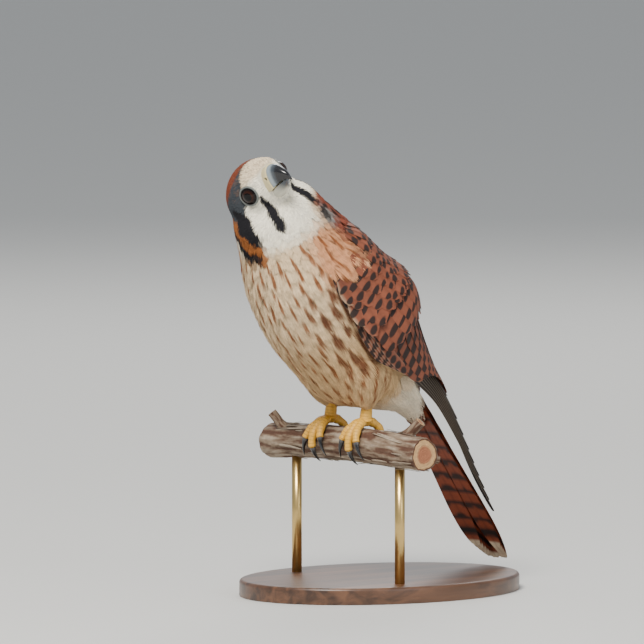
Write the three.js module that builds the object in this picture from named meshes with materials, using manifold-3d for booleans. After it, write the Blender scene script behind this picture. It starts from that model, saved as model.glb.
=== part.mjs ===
// An adult female American kestrel on a cut length of juniper branch, her head cocked to watch the sky:
// a still, life-size model on a plain display stand.
// Millimetres, +Z up. She faces -Y and her left is +X. The origin is under the middle of the stand's base.

import * as THREE from "three";
import { mergeVertices } from "three/addons/utils/BufferGeometryUtils.js";
import Module from "manifold-3d";

const wasm = await Module();
wasm.setup();

// Driving dimensions
const gap = 0.3; // kept between pieces that touch
const perchTop = 81; // top of the branch over the floor, so that the tail clears the base
const perchPlace = -20; // the branch's middle along Y from the middle of the base
const perchRadius = 8.5;
const perchLength = 112;
const baseThickness = 8;
const baseHalfLength = 74; // along Y
const baseHalfWidth = 56; // along X
const rodRadius = 2.4;
const rodSpread = 38; // each rod's distance from the middle along X
const rodSocket = 3; // how deep each end of a rod sits

const headYaw = 68; // degrees to her left
const headPitch = 25; // beak up
const headRoll = 39; // right ear down
const headFront = 19; // from the head's middle to the brow over the cere
const headBack = 21.3;
const eyeRadius = 6.4; // eyeball
const eyeOpening = 4.1; // radius of the part that the lids leave open
const lidRadius = 0.95; // thickness of the rim of the lids

const wingLength = 182; // from the shoulder to the longest primary, along the folded wing
const vaneThickness = 0.5;
const vaneStep = 0.8; // how much deeper a vane lies under its neighbour

const tailLength = 125;
const tailSlope = 56; // degrees below level
const tailHalfWidth = 14.5; // folded, near the tip

const toeRadius = 2.3;
const footSpread = 13; // each foot's distance from the middle along X

const colours = {
  crown: 0x7d7f8a, // slate crown and cheeks
  breast: 0xd9c3a0,
  rufous: 0xa9583a,
  tail: 0x9c4f30,
  beak: 0x2f333b,
  cere: 0xd8b64a,
  leg: 0xd9a92f,
  claw: 0x16161a,
  eye: 0x120b08,
  bark: 0x6f6255,
  wood: 0x3a2a20,
  brass: 0xb08d4f,
};

// Helpers

const { degToRad, radToDeg, clamp, lerp, smoothstep } = THREE.MathUtils;
const ease = (x) => smoothstep(x, 0, 1);
const largest = (bodies) => bodies.reduce((a, b) => (b.volume() > a.volume() ? b : a));
const union = (pieces) => pieces.reduce((a, b) => a.add(b));

// A closed geometry as a solid, with its faces turned outwards.
function solid(geometry) {
  const bare = new THREE.BufferGeometry().setAttribute("position", geometry.getAttribute("position"));
  bare.setIndex(geometry.index);
  const merged = mergeVertices(bare, 1e-4);
  const corners = merged.index.array;
  const triangles = [];
  for (let i = 0; i < corners.length; i += 3) {
    const [a, b, c] = corners.slice(i, i + 3);
    if (a !== b && b !== c && c !== a) triangles.push(a, b, c);
  }
  const build = (triVerts) =>
    new wasm.Manifold(
      new wasm.Mesh({
        numProp: 3,
        vertProperties: new Float32Array(merged.attributes.position.array),
        triVerts: new Uint32Array(triVerts),
      }),
    );
  const made = build(triangles);
  return made.volume() > 0 ? made : build(triangles.reverse());
}

// Moves every vertex of a geometry to the point that place gives for it.
function shaped(geometry, place) {
  const at = geometry.getAttribute("position");
  const from = new THREE.Vector3();
  for (let i = 0; i < at.count; i++) {
    from.fromBufferAttribute(at, i);
    at.setXYZ(i, ...place(from).toArray());
  }
  return geometry;
}

// A round form: place(t, angle, share) gives its surface from t 0 to 1.
// Share is 0 in the middle of a flat end and 1 on the wall.
function loft(around, lengthwise, place) {
  const geometry = new THREE.CylinderGeometry(1, 1, 1, around, lengthwise);
  return solid(
    shaped(geometry, (p) => place(p.y + 0.5, Math.atan2(p.x, p.z), Math.min(1, Math.hypot(p.x, p.z)))),
  );
}

// The same with both ends closed to a point.
function egg(around, lengthwise, place) {
  const geometry = new THREE.SphereGeometry(1, around, lengthwise);
  return solid(
    shaped(geometry, (p) => {
      const t = Math.acos(clamp(p.y, -1, 1)) / Math.PI;
      return place(1 - t, Math.hypot(p.x, p.z) < 1e-6 ? 0 : Math.atan2(p.x, p.z));
    }),
  );
}

// A thin closed form: place(across, lengthwise, face) gives both faces, face 1 outside and -1 inside.
// Both are split into triangles alike, so a curved one doesn't cross itself.
function sheet(across, lengthwise, place) {
  const grid = new THREE.PlaneGeometry(1, 1, across, lengthwise);
  const at = grid.getAttribute("position");
  const faces = [1, -1].map((face) =>
    Array.from({ length: at.count }, (_, i) => place(at.getX(i) + 0.5, at.getY(i) + 0.5, face).toArray()),
  );
  const index = [...grid.index.array];
  const back = index.map((i) => i + at.count).reverse();
  const row = across + 1;
  const rim = [];
  for (let i = 0; i < across; i++) rim.push(i);
  for (let j = 0; j < lengthwise; j++) rim.push(j * row + across);
  for (let i = across; i > 0; i--) rim.push(lengthwise * row + i);
  for (let j = lengthwise; j > 0; j--) rim.push(j * row);
  const wall = rim.flatMap((a, k) => {
    const b = rim[(k + 1) % rim.length];
    return [a, b, b + at.count, a, b + at.count, a + at.count];
  });
  const geometry = new THREE.BufferGeometry();
  geometry.setAttribute("position", new THREE.Float32BufferAttribute(faces.flat(2), 3));
  geometry.setIndex([...index, ...back, ...wall]);
  return solid(geometry);
}

// Smooth values along a short table of [position, values...], carried straight on past its ends.
function stations(rows) {
  const slopes = rows.map((row, i) => {
    const before = rows[Math.max(i - 1, 0)];
    const after = rows[Math.min(i + 1, rows.length - 1)];
    return row.map((_, k) => (after[k] - before[k]) / (after[0] - before[0]));
  });
  return (where) => {
    const x = clamp(where, rows[0][0], rows.at(-1)[0]);
    const i = clamp(rows.filter((row) => row[0] <= x).length - 1, 0, rows.length - 2);
    const span = rows[i + 1][0] - rows[i][0];
    const t = (x - rows[i][0]) / span;
    const edge = t < 0.5 ? slopes[i] : slopes[i + 1];
    return rows[i].slice(1).map((value, k) => {
      const [m, n] = [slopes[i][k + 1] * span, slopes[i + 1][k + 1] * span];
      const rise = rows[i + 1][k + 1] - value;
      const curve = t * (m + t * (3 * rise - 2 * m - n + t * (m + n - 2 * rise)));
      return value + curve + edge[k + 1] * (where - x);
    });
  };
}

// A point beside a line in her middle plane: side along X and rise towards her back, over the line's place.
function beside(line, where, side, rise) {
  const step = 0.01;
  const [y, z] = line(where);
  const [y0, z0] = line(where - step);
  const [y1, z1] = line(where + step);
  const length = Math.hypot(y1 - y0, z1 - z0);
  return new THREE.Vector3(side, y - (rise * (z1 - z0)) / length, z + (rise * (y1 - y0)) / length);
}

function material(colour, roughness, metalness = 0) {
  return new THREE.MeshStandardMaterial({ color: colour, roughness, metalness });
}

const feather = (colour) => material(colour, 0.85);

const perch = new THREE.Group(); // all that is placed from the top of the branch
perch.position.set(0, perchPlace, perchTop);
const kestrel = new THREE.Group();
kestrel.add(perch);

function node(name, made, look) {
  const body = largest(made.decompose());
  const { numProp, vertProperties, triVerts } = body.getMesh();
  const points = [];
  for (let i = 0; i < vertProperties.length; i += numProp) points.push(...vertProperties.slice(i, i + 3));
  const geometry = new THREE.BufferGeometry();
  geometry.setAttribute("position", new THREE.Float32BufferAttribute(points, 3));
  geometry.setIndex([...triVerts]);
  geometry.computeVertexNormals();
  const mesh = new THREE.Mesh(geometry, look);
  mesh.name = name;
  perch.add(mesh);
}

// Body: one surface from the head's middle to the under tail coverts

const bodyLine = stations([
  // place, y, z, half width, back, belly
  [0, -52.8, 114.6, 10, 10, 10],
  [0.35, -47.4, 107, 21, 21, 23],
  [0.7, -42.3, 99.8, 23.7, 24.2, 25],
  [1, -38, 93, 26, 27, 26.5],
  [2, -27, 77, 31, 32, 32.5],
  [3, -14, 62, 32.5, 32.5, 36],
  [4, -1, 47.5, 31.5, 32, 35],
  [5, 11.3, 34.5, 28, 27, 32.5],
  [6, 23.5, 23, 20, 18.5, 21],
  [7, 36, 11.5, 11.5, 9, 10],
  [8, 47, -3, 4, 2.5, 3],
]);
const bodyEnd = 8;

function bodyPoint(place, angle) {
  const [, , side, back, belly] = bodyLine(place);
  const atPole = place === 0 || place === bodyEnd ? 0 : 1;
  const depth = Math.cos(angle) > 0 ? back : belly;
  return beside(bodyLine, place, atPole * Math.sin(angle) * side, atPole * Math.cos(angle) * depth);
}

const bodyForm = () => egg(26, 20, (t, angle) => bodyPoint(bodyEnd * (1 - t) ** 1.4, angle));

// Head, in its own frame: x to her left, y back, z to the crown

const headTurn = new THREE.Euler(-degToRad(headPitch), -degToRad(headRoll), degToRad(headYaw), "ZXY");
const headCentre = beside(bodyLine, 0, 0, 0);
const headFrame = new THREE.Matrix4().compose(
  headCentre,
  new THREE.Quaternion().setFromEuler(headTurn),
  new THREE.Vector3(1, 1, 1),
);
const inHead = (x, y, z) => new THREE.Vector3(x, y, z).applyMatrix4(headFrame);
const headShape = stations([
  // y, half width, crown, throat
  [-20, 12.6, 13, 11.8],
  [-14, 13.8, 14.4, 13.6],
  [-6, 14.8, 15.2, 14],
  [4, 17.2, 16.4, 15.6],
  [13, 19.4, 16.4, 17.6],
  [21, 19.4, 15.4, 17.6],
]);
const eyeAxis = new THREE.Vector3(0.88, -0.47, -0.02).normalize(); // of the left eye
const eyeFront = new THREE.Vector3(13, -7.9, 0.8);
const eyeCentre = eyeFront.clone().addScaledVector(eyeAxis, -eyeRadius);
const browPlace = new THREE.Vector3(11.6, -8.6, 7);
const bump = (p, centre, width) => Math.exp(-p.distanceToSquared(centre) / (2 * width * width));

function headForm() {
  return egg(26, 19, (t, angle) => {
    const middle = (headBack - headFront) / 2;
    const y = middle - ((headFront + headBack) / 2) * Math.cos(Math.PI * (1 - t));
    const ring = Math.sin(Math.PI * t);
    const [side, crown, throat] = headShape(y);
    const rise = Math.cos(angle) > 0 ? crown : throat;
    const p = new THREE.Vector3(Math.sin(angle) * side * ring, y, Math.cos(angle) * rise * ring);
    const mirrored = new THREE.Vector3(Math.abs(p.x), p.y, p.z);
    const swell = 1.2 * bump(mirrored, browPlace, 3) - 1.9 * bump(mirrored, eyeFront, 4.6);
    const out = new THREE.Vector3(p.x, 0, p.z).normalize();
    return inHead(...p.addScaledVector(out, swell).toArray());
  });
}

// Beak: each half lies between the ridge, or the keel, and the line where the two halves meet
const upperBeak = stations([
  // place, ridge y, z, edge y, z, half width
  [0, -16.5, 5, -14.5, -4.9, 6],
  [0.25, -20.6, 4.3, -18.6, -5.1, 5.3],
  [0.5, -24.6, 2.4, -21.9, -5.3, 4.1],
  [0.72, -27.5, -1.4, -24.6, -5.6, 2.8],
  [0.88, -28.8, -5.2, -26.7, -6.5, 1.5],
  [1, -28.4, -8.8, -28.1, -8.9, 0.25],
]);
const lowerBeak = stations([
  // place, keel y, z, edge y, z, half width
  [0, -12, -10.4, -12, -5.5, 5.2],
  [0.5, -18.6, -9.6, -18.6, -5.7, 3.9],
  [1, -24.2, -7.4, -24.2, -6.3, 1.2],
]);
const beakDrop = 14; // length of the upper half's line, from the cere's root round to the tip
const cereEnd = 0.25; // its share of the upper line
const cerePuff = 0.35; // how far it stands over the horn
const hornFrom = cereEnd + gap / beakDrop;
const beakSole = 0.08; // how far each half bulges over the line where the two meet

function beakForm(line, from, to, around, lengthwise, grow = 0) {
  return loft(around, lengthwise, (t, angle, share) => {
    const [ridgeY, ridgeZ, edgeY, edgeZ, side] = line(lerp(from, to, t));
    const height = Math.hypot(ridgeY - edgeY, ridgeZ - edgeZ);
    const reach = Math.cos(angle) > 0 ? height : beakSole;
    const rise = (share * Math.cos(angle) * (reach + grow)) / height;
    const across = Math.sign(Math.sin(angle)) * Math.abs(Math.sin(angle)) ** 0.85;
    return inHead(
      across * share * (side + grow),
      edgeY + (ridgeY - edgeY) * rise,
      edgeZ + (ridgeZ - edgeZ) * rise,
    );
  });
}

function eyeForm(side, grow = 0) {
  const geometry = new THREE.SphereGeometry(eyeRadius + grow, 14, 9);
  return solid(
    shaped(geometry, (p) => inHead(side * (p.x + eyeCentre.x), p.y + eyeCentre.y, p.z + eyeCentre.z)),
  );
}

function lidForm(side) {
  const ringRadius = eyeOpening + lidRadius * 0.9;
  const lift = Math.sqrt(eyeRadius ** 2 - eyeOpening ** 2) - 0.1;
  const turn = new THREE.Quaternion().setFromUnitVectors(new THREE.Vector3(0, 0, 1), eyeAxis);
  const geometry = new THREE.TorusGeometry(ringRadius, lidRadius, 6, 18);
  return solid(
    shaped(geometry, (p) => {
      p.applyQuaternion(turn).add(eyeCentre).addScaledVector(eyeAxis, lift);
      return inHead(side * p.x, p.y, p.z);
    }),
  );
}

const nostrilPlace = new THREE.Vector3(4.9, -18.6, 0.2);
function nostril(side, radius, depth) {
  const turn = new THREE.Quaternion().setFromUnitVectors(
    new THREE.Vector3(0, 1, 0),
    new THREE.Vector3(side * 0.95, -0.25, 0.15).normalize(),
  );
  const geometry = new THREE.CylinderGeometry(radius, radius, depth, 8);
  return solid(
    shaped(geometry, (p) => {
      p.applyQuaternion(turn);
      return inHead(p.x + side * nostrilPlace.x, p.y + nostrilPlace.y, p.z + nostrilPlace.z);
    }),
  );
}

// The line of the mouth, from the beak back to the corners of the gape
const gapePlace = { y: -12.4, z: -5.1 };
function mouthSlit() {
  const geometry = new THREE.BoxGeometry(30, 5, 0.5);
  return solid(shaped(geometry, (p) => inHead(p.x, p.y + gapePlace.y, p.z + gapePlace.z)));
}

function makeBeak() {
  const pits = [1, -1].map((side) => nostril(side, 1, 2.4).subtract(nostril(side, 0.4, 3)));
  const cere = beakForm(upperBeak, 0, cereEnd, 16, 3, cerePuff);
  node("cere", cere.subtract(union(pits)), material(colours.cere, 0.5));
  node("beak_upper", beakForm(upperBeak, hornFrom, 1, 14, 9), material(colours.beak, 0.3));
  node("beak_lower", beakForm(lowerBeak, 0, 1, 12, 5), material(colours.beak, 0.3));
}

// Wings: one arched line over the back, and each wing lies on one side of it.
// Along is the distance down the folded wing. Angle goes from the back's middle to the belly, in degrees.

const wingLine = stations([
  // along, y, z, half width, back
  [0, -37, 89.5, 25, 24],
  [13, -28.7, 79.5, 33, 28.5],
  [34, -15.4, 63, 36, 33],
  [54, -1, 48, 38.5, 37],
  [73, 12.3, 35.5, 32.5, 28.5],
  [90, 25.6, 24, 26, 20.5],
  [110, 40.5, 11.3, 20, 14.5],
  [134, 56, -9, 15.5, 11],
  [158, 69.5, -29, 12.5, 9],
  [wingLength, 83, -49, 11, 7.5],
]);
const wingEdge = stations([
  // along, lower edge's angle, upper edge's angle
  [0, 92, 18],
  [12, 104, 12],
  [34, 109, 9],
  [55, 114, 9],
  [75, 114, 9],
  [95, 106, 10],
  [120, 86, 12],
  [150, 66, 10],
  [wingLength, 50, 12],
]);

const squareness = 0.85; // under 1, the folded wings stand a little square at the shoulders of the back
const squared = (x) => Math.sign(x) * Math.abs(x) ** squareness;

function wingPoint(side, along, angle, depth) {
  const [, , half, back] = wingLine(along);
  const turn = degToRad(angle);
  const [out, up] = [squared(Math.sin(turn)), squared(Math.cos(turn))];
  return beside(wingLine, along, side * out * (half - depth), up * (back - depth));
}

// A closed form between two depths of the wing. Soft is the share of its width that thins out at each edge.
function wingShell(side, { from, to, outside, inside, soft = 0, wider = 0, grow = 0, across, lengthwise }) {
  return sheet(across, lengthwise, (q, t, face) => {
    const along = lerp(from - grow, to + grow, t);
    const [low, high] = wingEdge(along);
    const beyond = wider + grow * 1.9; // degrees past each edge
    const inset = soft ? clamp(Math.min(q, 1 - q, t * 0.8, (1 - t) * 0.5) / soft, 0, 1) : 1;
    const round = Math.sqrt(1 - (1 - inset) ** 2);
    const [top, bottom] = [outside(along), inside(along)];
    const half = Math.max(0.35, ((bottom - top) / 2) * round) + grow;
    return wingPoint(side, along, lerp(high - beyond, low + beyond, q), (top + bottom) / 2 - face * half);
  });
}

// The room that a whole wing takes out of the body, up past the feathers that lie outside it
function wingRoom(side, grow = 0) {
  const outside = () => -5;
  const inside = (along) => lerp(lerp(7.6, 8.2, ease((along - 50) / 20)), 5, ease((along - 86) / 70));
  return wingShell(side, { from: 9, to: 130, outside, inside, wider: 2, grow, across: 8, lengthwise: 14 });
}

// The arm with its packed small coverts, which the vanes grow from
function wingArm(side) {
  const outside = (along) => lerp(0, 4.2, ease((along - 12) / 50));
  const inside = (along) => lerp(5.4, 6.7, ease(along / 40));
  return wingShell(side, { from: 10, to: 84, outside, inside, soft: 0.09, across: 6, lengthwise: 6 });
}

// Half the width of a feather along its length, as a share of its widest: narrow root, round tip
function outline(t) {
  const root = lerp(0.4, 1, ease(t / 0.4));
  const tip = Math.sqrt(Math.max(0, 1 - (Math.max(0, t - 0.78) / 0.22) ** 2));
  return root * lerp(0.16, 1, tip);
}

// A vane's thickness, down to half of it at the tip
const thinning = (t) => vaneThickness * lerp(1, 0.5, ease((t - 0.85) / 0.15));

// One feather of the wing. Lane is its place across the wing, from 0 at the upper edge to 1 at the lower.
// It is tilted, so that its lower edge lies over the next feather's upper one, and its root sinks.
function wingVane(side, { from, to, lane, tipLane = lane, width, depth, tilt = 0, sink = 0, lengthwise }) {
  return sheet(2, lengthwise, (q, t, face) => {
    const down = 1 - (1 - t) ** 1.5;
    const along = lerp(from, to, down);
    const [, , half, back] = wingLine(along);
    const [low, high] = wingEdge(along);
    const middle = lerp(high, low, lerp(lane, tipLane, down));
    const turn = radToDeg(((q - 0.5) * width * outline(down)) / ((half + back) / 2));
    const thin = thinning(down);
    const under = depth(along) + tilt * (1 - q) + sink * (1 - down) ** 2 - (face * thin) / 2;
    return wingPoint(side, along, middle + turn, under);
  });
}

const spread = (count, make) => Array.from({ length: count }, (_, i) => make(i, i / (count - 1)));

// How deep the bundle of primaries lies: under the secondaries, then out to the surface past their tips
const primaryDepth = stations([
  // along, depth of the uppermost
  [66, 3.6],
  [98, 3.1],
  [118, 1],
  [140, -0.6],
  [wingLength, -3],
]);

function wingForm(side) {
  const medianCoverts = spread(7, (_, share) => ({
    from: 17,
    to: lerp(45, 38, share),
    lane: lerp(0.09, 0.8, share),
    width: 12.5,
    depth: () => 0.1,
    tilt: 1.6,
    sink: 3,
    lengthwise: 3,
  }));
  const greaterCoverts = spread(7, (_, share) => ({
    from: 31,
    to: lerp(65, 58, share),
    lane: lerp(0.09, 0.8, share),
    width: 12.5,
    depth: () => 0.4,
    tilt: 1.6,
    sink: 4.4,
    lengthwise: 4,
  }));
  const flightTips = [82, 95, 105, 100, 97, 94, 90, 86]; // three tertials, then secondaries
  const innerFlight = flightTips.map((to, i) => ({
    from: 50,
    to,
    lane: lerp(0.1, 0.8, i / (flightTips.length - 1)),
    width: 9.8,
    depth: () => 0.5,
    tilt: 1.9,
    sink: 4.2,
    lengthwise: 4,
  }));
  const primaries = spread(6, (i, share) => ({
    from: 68,
    to: lerp(128, wingLength, share ** 0.8),
    lane: lerp(0.5, 0.86, share),
    tipLane: lerp(0.45, 0.55, share),
    width: 9,
    depth: (along) => primaryDepth(along)[0] + i * vaneStep,
    lengthwise: 7,
  }));
  const primaryCoverts = spread(2, (i) => ({
    from: 34,
    to: 78 - i * 5,
    lane: 0.935 + i * 0.03,
    width: 5,
    depth: () => 1.9 + i * vaneStep,
    sink: 1.6,
    lengthwise: 4,
  }));
  const alula = spread(2, (i) => ({
    from: 15,
    to: 44 - i * 5,
    lane: 0.94 + i * 0.025,
    width: 5,
    depth: () => 0.5 + i * vaneStep,
    sink: 2,
    lengthwise: 3,
  }));
  const feathers = [medianCoverts, greaterCoverts, innerFlight, primaries, primaryCoverts, alula];
  return union([wingArm(side), ...feathers.flat().map((feather) => wingVane(side, feather))]);
}

// Tail: in its own frame, along is down the feathers, side along X, rise over their upper face

const tailRoot = new THREE.Vector3(0, 26.6, 34.3);
const tailDown = new THREE.Vector3(0, Math.cos(degToRad(tailSlope)), -Math.sin(degToRad(tailSlope)));
const tailUp = new THREE.Vector3(0, -tailDown.z, tailDown.y);
const tailWidth = stations([
  // along, half width
  [-10, 5],
  [0, 6.5],
  [50, 9.5],
  [105, tailHalfWidth],
  [tailLength, tailHalfWidth],
]);

function tailPoint(along, side, rise) {
  return tailRoot
    .clone()
    .addScaledVector(tailDown, along)
    .addScaledVector(tailUp, rise)
    .add(new THREE.Vector3(side, 0, 0));
}

// The room that the tail fills under her coverts, and its root
function tailRoom({ to, coverts, lengthwise, grow = 0 }) {
  const depth = 7 * vaneStep;
  return sheet(2, lengthwise, (q, t, face) => {
    const along = lerp(-8 - grow, to + grow, t);
    const side = (q - 0.5) * 2 * (tailWidth(along)[0] + grow);
    const top = along < coverts ? 2.6 : 0.3;
    return tailPoint(along, side, face > 0 ? top + grow : -depth - grow);
  });
}

// One tail feather. The middle pair lie on top and cross, and the others stop at her middle.
function tailVane(side, pair) {
  const end = tailLength - 1.1 * pair ** 1.35;
  return sheet(2, 5, (q, t, face) => {
    const down = 1 - (1 - t) ** 1.4;
    const along = lerp(-5, end, down);
    const [half] = tailWidth(along);
    const inner = pair === 0 ? -0.35 * half : 0.5;
    const outer = half * lerp(0.7, 1, pair / 5);
    const tip = outline(lerp(0.4, 1, down));
    const across = lerp(lerp(inner, outer, 0.4), lerp(inner, outer, q), tip);
    const layer = pair === 0 && side > 0 ? 0 : pair + 1;
    const rise = -0.35 * (across / half) ** 2 - layer * vaneStep;
    return tailPoint(along, side * across, rise + (face * thinning(down)) / 2);
  });
}

// Coverts over the root of the tail
function tailCovert(place) {
  return sheet(2, 4, (q, t, face) => {
    const down = 1 - (1 - t) ** 1.4;
    const along = lerp(0, 30 - 12 * Math.abs(place), down);
    const across = place * 3.6 + (q - 0.5) * 6.5 * outline(down);
    const rise = lerp(-1.4, 1.2, ease(down * 1.6)) - 0.8 * Math.abs(place) - 0.1 * (across / 3) ** 2;
    return tailPoint(along, across, rise + (face * vaneThickness) / 2);
  });
}

function tailForm() {
  const vanes = [1, -1].flatMap((side) => spread(6, (pair) => tailVane(side, pair)));
  return union([tailRoom({ to: 20, coverts: -9, lengthwise: 2 }), ...vanes, ...[-1, 0, 1].map(tailCovert)]);
}

// Legs and feet

const anklePlace = (side) => new THREE.Vector3(side * footSpread, 3, 26);
const solePlace = (side) => new THREE.Vector3(side * footSpread, 0, toeRadius + 3 * gap);

function thighForm(side, grow = 0) {
  const line = stations([
    // place, x, y, z, radius across, radius fore and aft
    [0, 16, -2, 43, 3, 4],
    [0.15, 17, -3.5, 38, 8.5, 9.5],
    [0.4, 17.8, -4.5, 29, 11.5, 13.5],
    [0.72, 15.8, -2, 17.5, 8.2, 9.6],
    [1, 13.3, 0, 9, 4, 4.4],
  ]);
  return loft(14, 7, (t, angle, share) => {
    const [x, y, z, across, fore] = line(1 - t);
    const end = t === 0 ? -grow : 0;
    return new THREE.Vector3(
      side * (x + Math.sin(angle) * share * (across + grow)),
      y + Math.cos(angle) * share * (fore + grow),
      z + end,
    );
  });
}

// A tapered tube along a curve
function limb(curve, radius, around, lengthwise) {
  const frames = curve.computeFrenetFrames(lengthwise);
  return loft(around, lengthwise, (t, angle, share) => {
    const i = Math.round(t * lengthwise);
    return curve
      .getPoint(t)
      .addScaledVector(frames.normals[i], Math.cos(angle) * share * radius(t))
      .addScaledVector(frames.binormals[i], Math.sin(angle) * share * radius(t));
  });
}

const toes = [
  // turn from straight ahead, reach round the branch in degrees, thickness
  { name: "inner", turn: -26, reach: 78, size: 0.95 },
  { name: "middle", turn: 2, reach: 104, size: 1 },
  { name: "outer", turn: 30, reach: 82, size: 0.92 },
  { name: "hind", turn: 180, reach: 72, size: 1 },
];

// A toe's line from one angle round the branch to another
function toeCurve(side, { turn, size }, from, to, lift = 0) {
  const ring = perchRadius + toeRadius * size + gap + lift;
  const forward = turn > 90 ? -1 : 1;
  const points = Array.from({ length: 7 }, (_, i) => {
    const round = degToRad(lerp(from, to, i / 6));
    const aside = Math.sin(degToRad(turn)) * ring * round * 0.75;
    return new THREE.Vector3(
      side * (footSpread + aside),
      -forward * ring * Math.sin(round),
      -perchRadius + ring * Math.cos(round),
    );
  });
  return new THREE.CatmullRomCurve3(points);
}

function makeFoot(side, name) {
  const shank = new THREE.CatmullRomCurve3([
    solePlace(side),
    solePlace(side).lerp(anklePlace(side), 0.5),
    anklePlace(side),
  ]);
  const pieces = [limb(shank, (t) => lerp(2.9, 2.3, ease(t * 2)), 8, 3)];
  toes.forEach((toe) => {
    const knuckled = (t) => toeRadius * toe.size * (1 - 0.25 * t) * (1 + 0.07 * Math.cos(t * Math.PI * 6));
    const curve = toeCurve(side, toe, 2, toe.reach);
    pieces.push(limb(curve, knuckled, 7, 6));
    const hook = toeCurve(side, { ...toe, size: 0.75 }, toe.reach + 2.4, toe.reach + 46, 0.25);
    const claw = limb(hook, (t) => lerp(1.5, 0.22, t), 6, 4);
    node(`claw_${name}_${toe.name}`, claw, material(colours.claw, 0.35));
  });
  node(`foot_${name}`, union(pieces).subtract(thighForm(side, gap)), material(colours.leg, 0.6));
}

// Branch and stand

function perchForm() {
  return loft(14, 8, (t, angle, share) => {
    const x = (t - 0.5) * perchLength;
    const bend = 2.2 * (Math.cos((t - 0.5) * Math.PI) - 1);
    const swell = 1 + 0.05 * Math.sin(t * 17 + 1) * ease(Math.abs(t - 0.5) * 4 - 0.8);
    const lump = 1 - 0.035 * (1 + Math.cos(angle * 3 + t * 4));
    const radius = perchRadius * swell * lump * share;
    return new THREE.Vector3(x, Math.cos(angle) * radius, -perchRadius + bend + Math.sin(angle) * radius);
  });
}

const perchStubs = [
  // x, turn about the branch in degrees, lean along it, length, radius
  [34, 62, 0.7, 13, 2.6],
  [-41, 118, -0.5, 11, 2.2],
  [46, -20, 0.4, 9, 1.9],
];

function stubForm([x, turn, lean, length, radius]) {
  const out = new THREE.Vector3(lean, Math.cos(degToRad(turn)), Math.sin(degToRad(turn))).normalize();
  const root = new THREE.Vector3(x, 0, -perchRadius - 1).addScaledVector(out, perchRadius - 3);
  const curve = new THREE.LineCurve3(root, root.clone().addScaledVector(out, length));
  const upright = new THREE.Quaternion().setFromUnitVectors(new THREE.Vector3(0, 1, 0), out);
  return loft(8, 2, (t, angle, share) => {
    const ring = new THREE.Vector3(Math.cos(angle), 0, Math.sin(angle)).applyQuaternion(upright);
    return curve.getPoint(t).addScaledVector(ring, share * lerp(radius * 1.5, radius, ease(t * 2)));
  });
}

function rodForm(side, grow = 0) {
  const bottom = -perchTop + baseThickness - rodSocket - grow;
  const top = -perchRadius * 2 + rodSocket + grow;
  const geometry = new THREE.CylinderGeometry(rodRadius + grow, rodRadius + grow, top - bottom, 16);
  const middle = (top + bottom) / 2;
  return solid(shaped(geometry, (p) => new THREE.Vector3(side * rodSpread + p.x, p.z, p.y + middle)));
}

function baseForm() {
  const bevel = 1.6;
  const rim = [
    new THREE.Vector2(0, 0),
    new THREE.Vector2(1, 0),
    new THREE.Vector2(1, baseThickness - bevel),
    new THREE.Vector2(0.975, baseThickness),
    new THREE.Vector2(0, baseThickness),
  ];
  const geometry = new THREE.LatheGeometry(rim, 36);
  return solid(
    shaped(geometry, (p) =>
      new THREE.Vector3(p.x * baseHalfWidth, p.z * baseHalfLength - perchPlace, p.y - perchTop),
    ),
  );
}

// Putting the bird together

const cuts = [0.58, 1.3]; // where the head ends and where the neck ends, along the body's line
function knife(place) {
  const [y0, z0] = bodyLine(place);
  const [y1, z1] = bodyLine(place + 0.01);
  const along = new THREE.Vector3(0, y1 - y0, z1 - z0).normalize();
  const turn = new THREE.Quaternion().setFromUnitVectors(new THREE.Vector3(0, 0, 1), along);
  const geometry = new THREE.BoxGeometry(160, 160, gap);
  return solid(shaped(geometry, (p) => p.applyQuaternion(turn).add(beside(bodyLine, place, 0, 0))));
}

function makeBody() {
  const sides = [1, -1];
  const whole = union([bodyForm(), headForm(), ...sides.map(lidForm)]).subtract(
    union([
      ...cuts.map(knife),
      ...sides.map((side) => eyeForm(side, gap)),
      ...sides.map((side) => wingRoom(side, gap)),
      ...sides.map((side) => thighForm(side, gap)),
      tailRoom({ to: tailLength, coverts: 40, lengthwise: 8, grow: gap }),
      beakForm(upperBeak, 0, 0.6, 14, 4, cerePuff + gap),
      beakForm(lowerBeak, 0, 1, 10, 4, gap),
      mouthSlit(),
    ]),
  );
  const parts = whole.decompose().sort((a, b) => b.volume() - a.volume());
  const high = (part) => part.boundingBox().max[2];
  const [torso, ...upper] = parts.slice(0, 3);
  const [head, neck] = upper.sort((a, b) => high(b) - high(a));
  node("head", head, feather(colours.crown));
  node("neck", neck, feather(colours.breast));
  node("torso", torso, feather(colours.breast));
}

makeBody();
makeBeak();
for (const [side, name] of [
  [1, "left"],
  [-1, "right"],
]) {
  node(`eye_${name}`, eyeForm(side), material(colours.eye, 0.05));
  node(`wing_${name}`, wingForm(side), feather(colours.rufous));
  node(`thigh_${name}`, thighForm(side).subtract(wingRoom(side, gap)), feather(colours.breast));
  makeFoot(side, name);
  node(`stand_rod_${name}`, rodForm(side), material(colours.brass, 0.3, 1));
}
node("tail", tailForm(), feather(colours.tail));
const sockets = union([1, -1].map((side) => rodForm(side, gap)));
const branch = union([perchForm(), ...perchStubs.map(stubForm)]);
node("perch", branch.subtract(sockets), material(colours.bark, 0.95));
node("stand_base", baseForm().subtract(sockets), material(colours.wood, 0.5));

export default kestrel;
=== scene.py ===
# An adult female American kestrel on a cut length of juniper branch, her head cocked to watch the sky.
# A still, life-size model on a plain display stand. Places are in mm from the top of the branch, and
# toFrame turns them into the model's metres. She faces -Y and her left is +X.

import math

import bmesh
import bpy
import numpy as np
from mathutils import Matrix, Vector, noise
from mathutils.bvhtree import BVHTree


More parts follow.
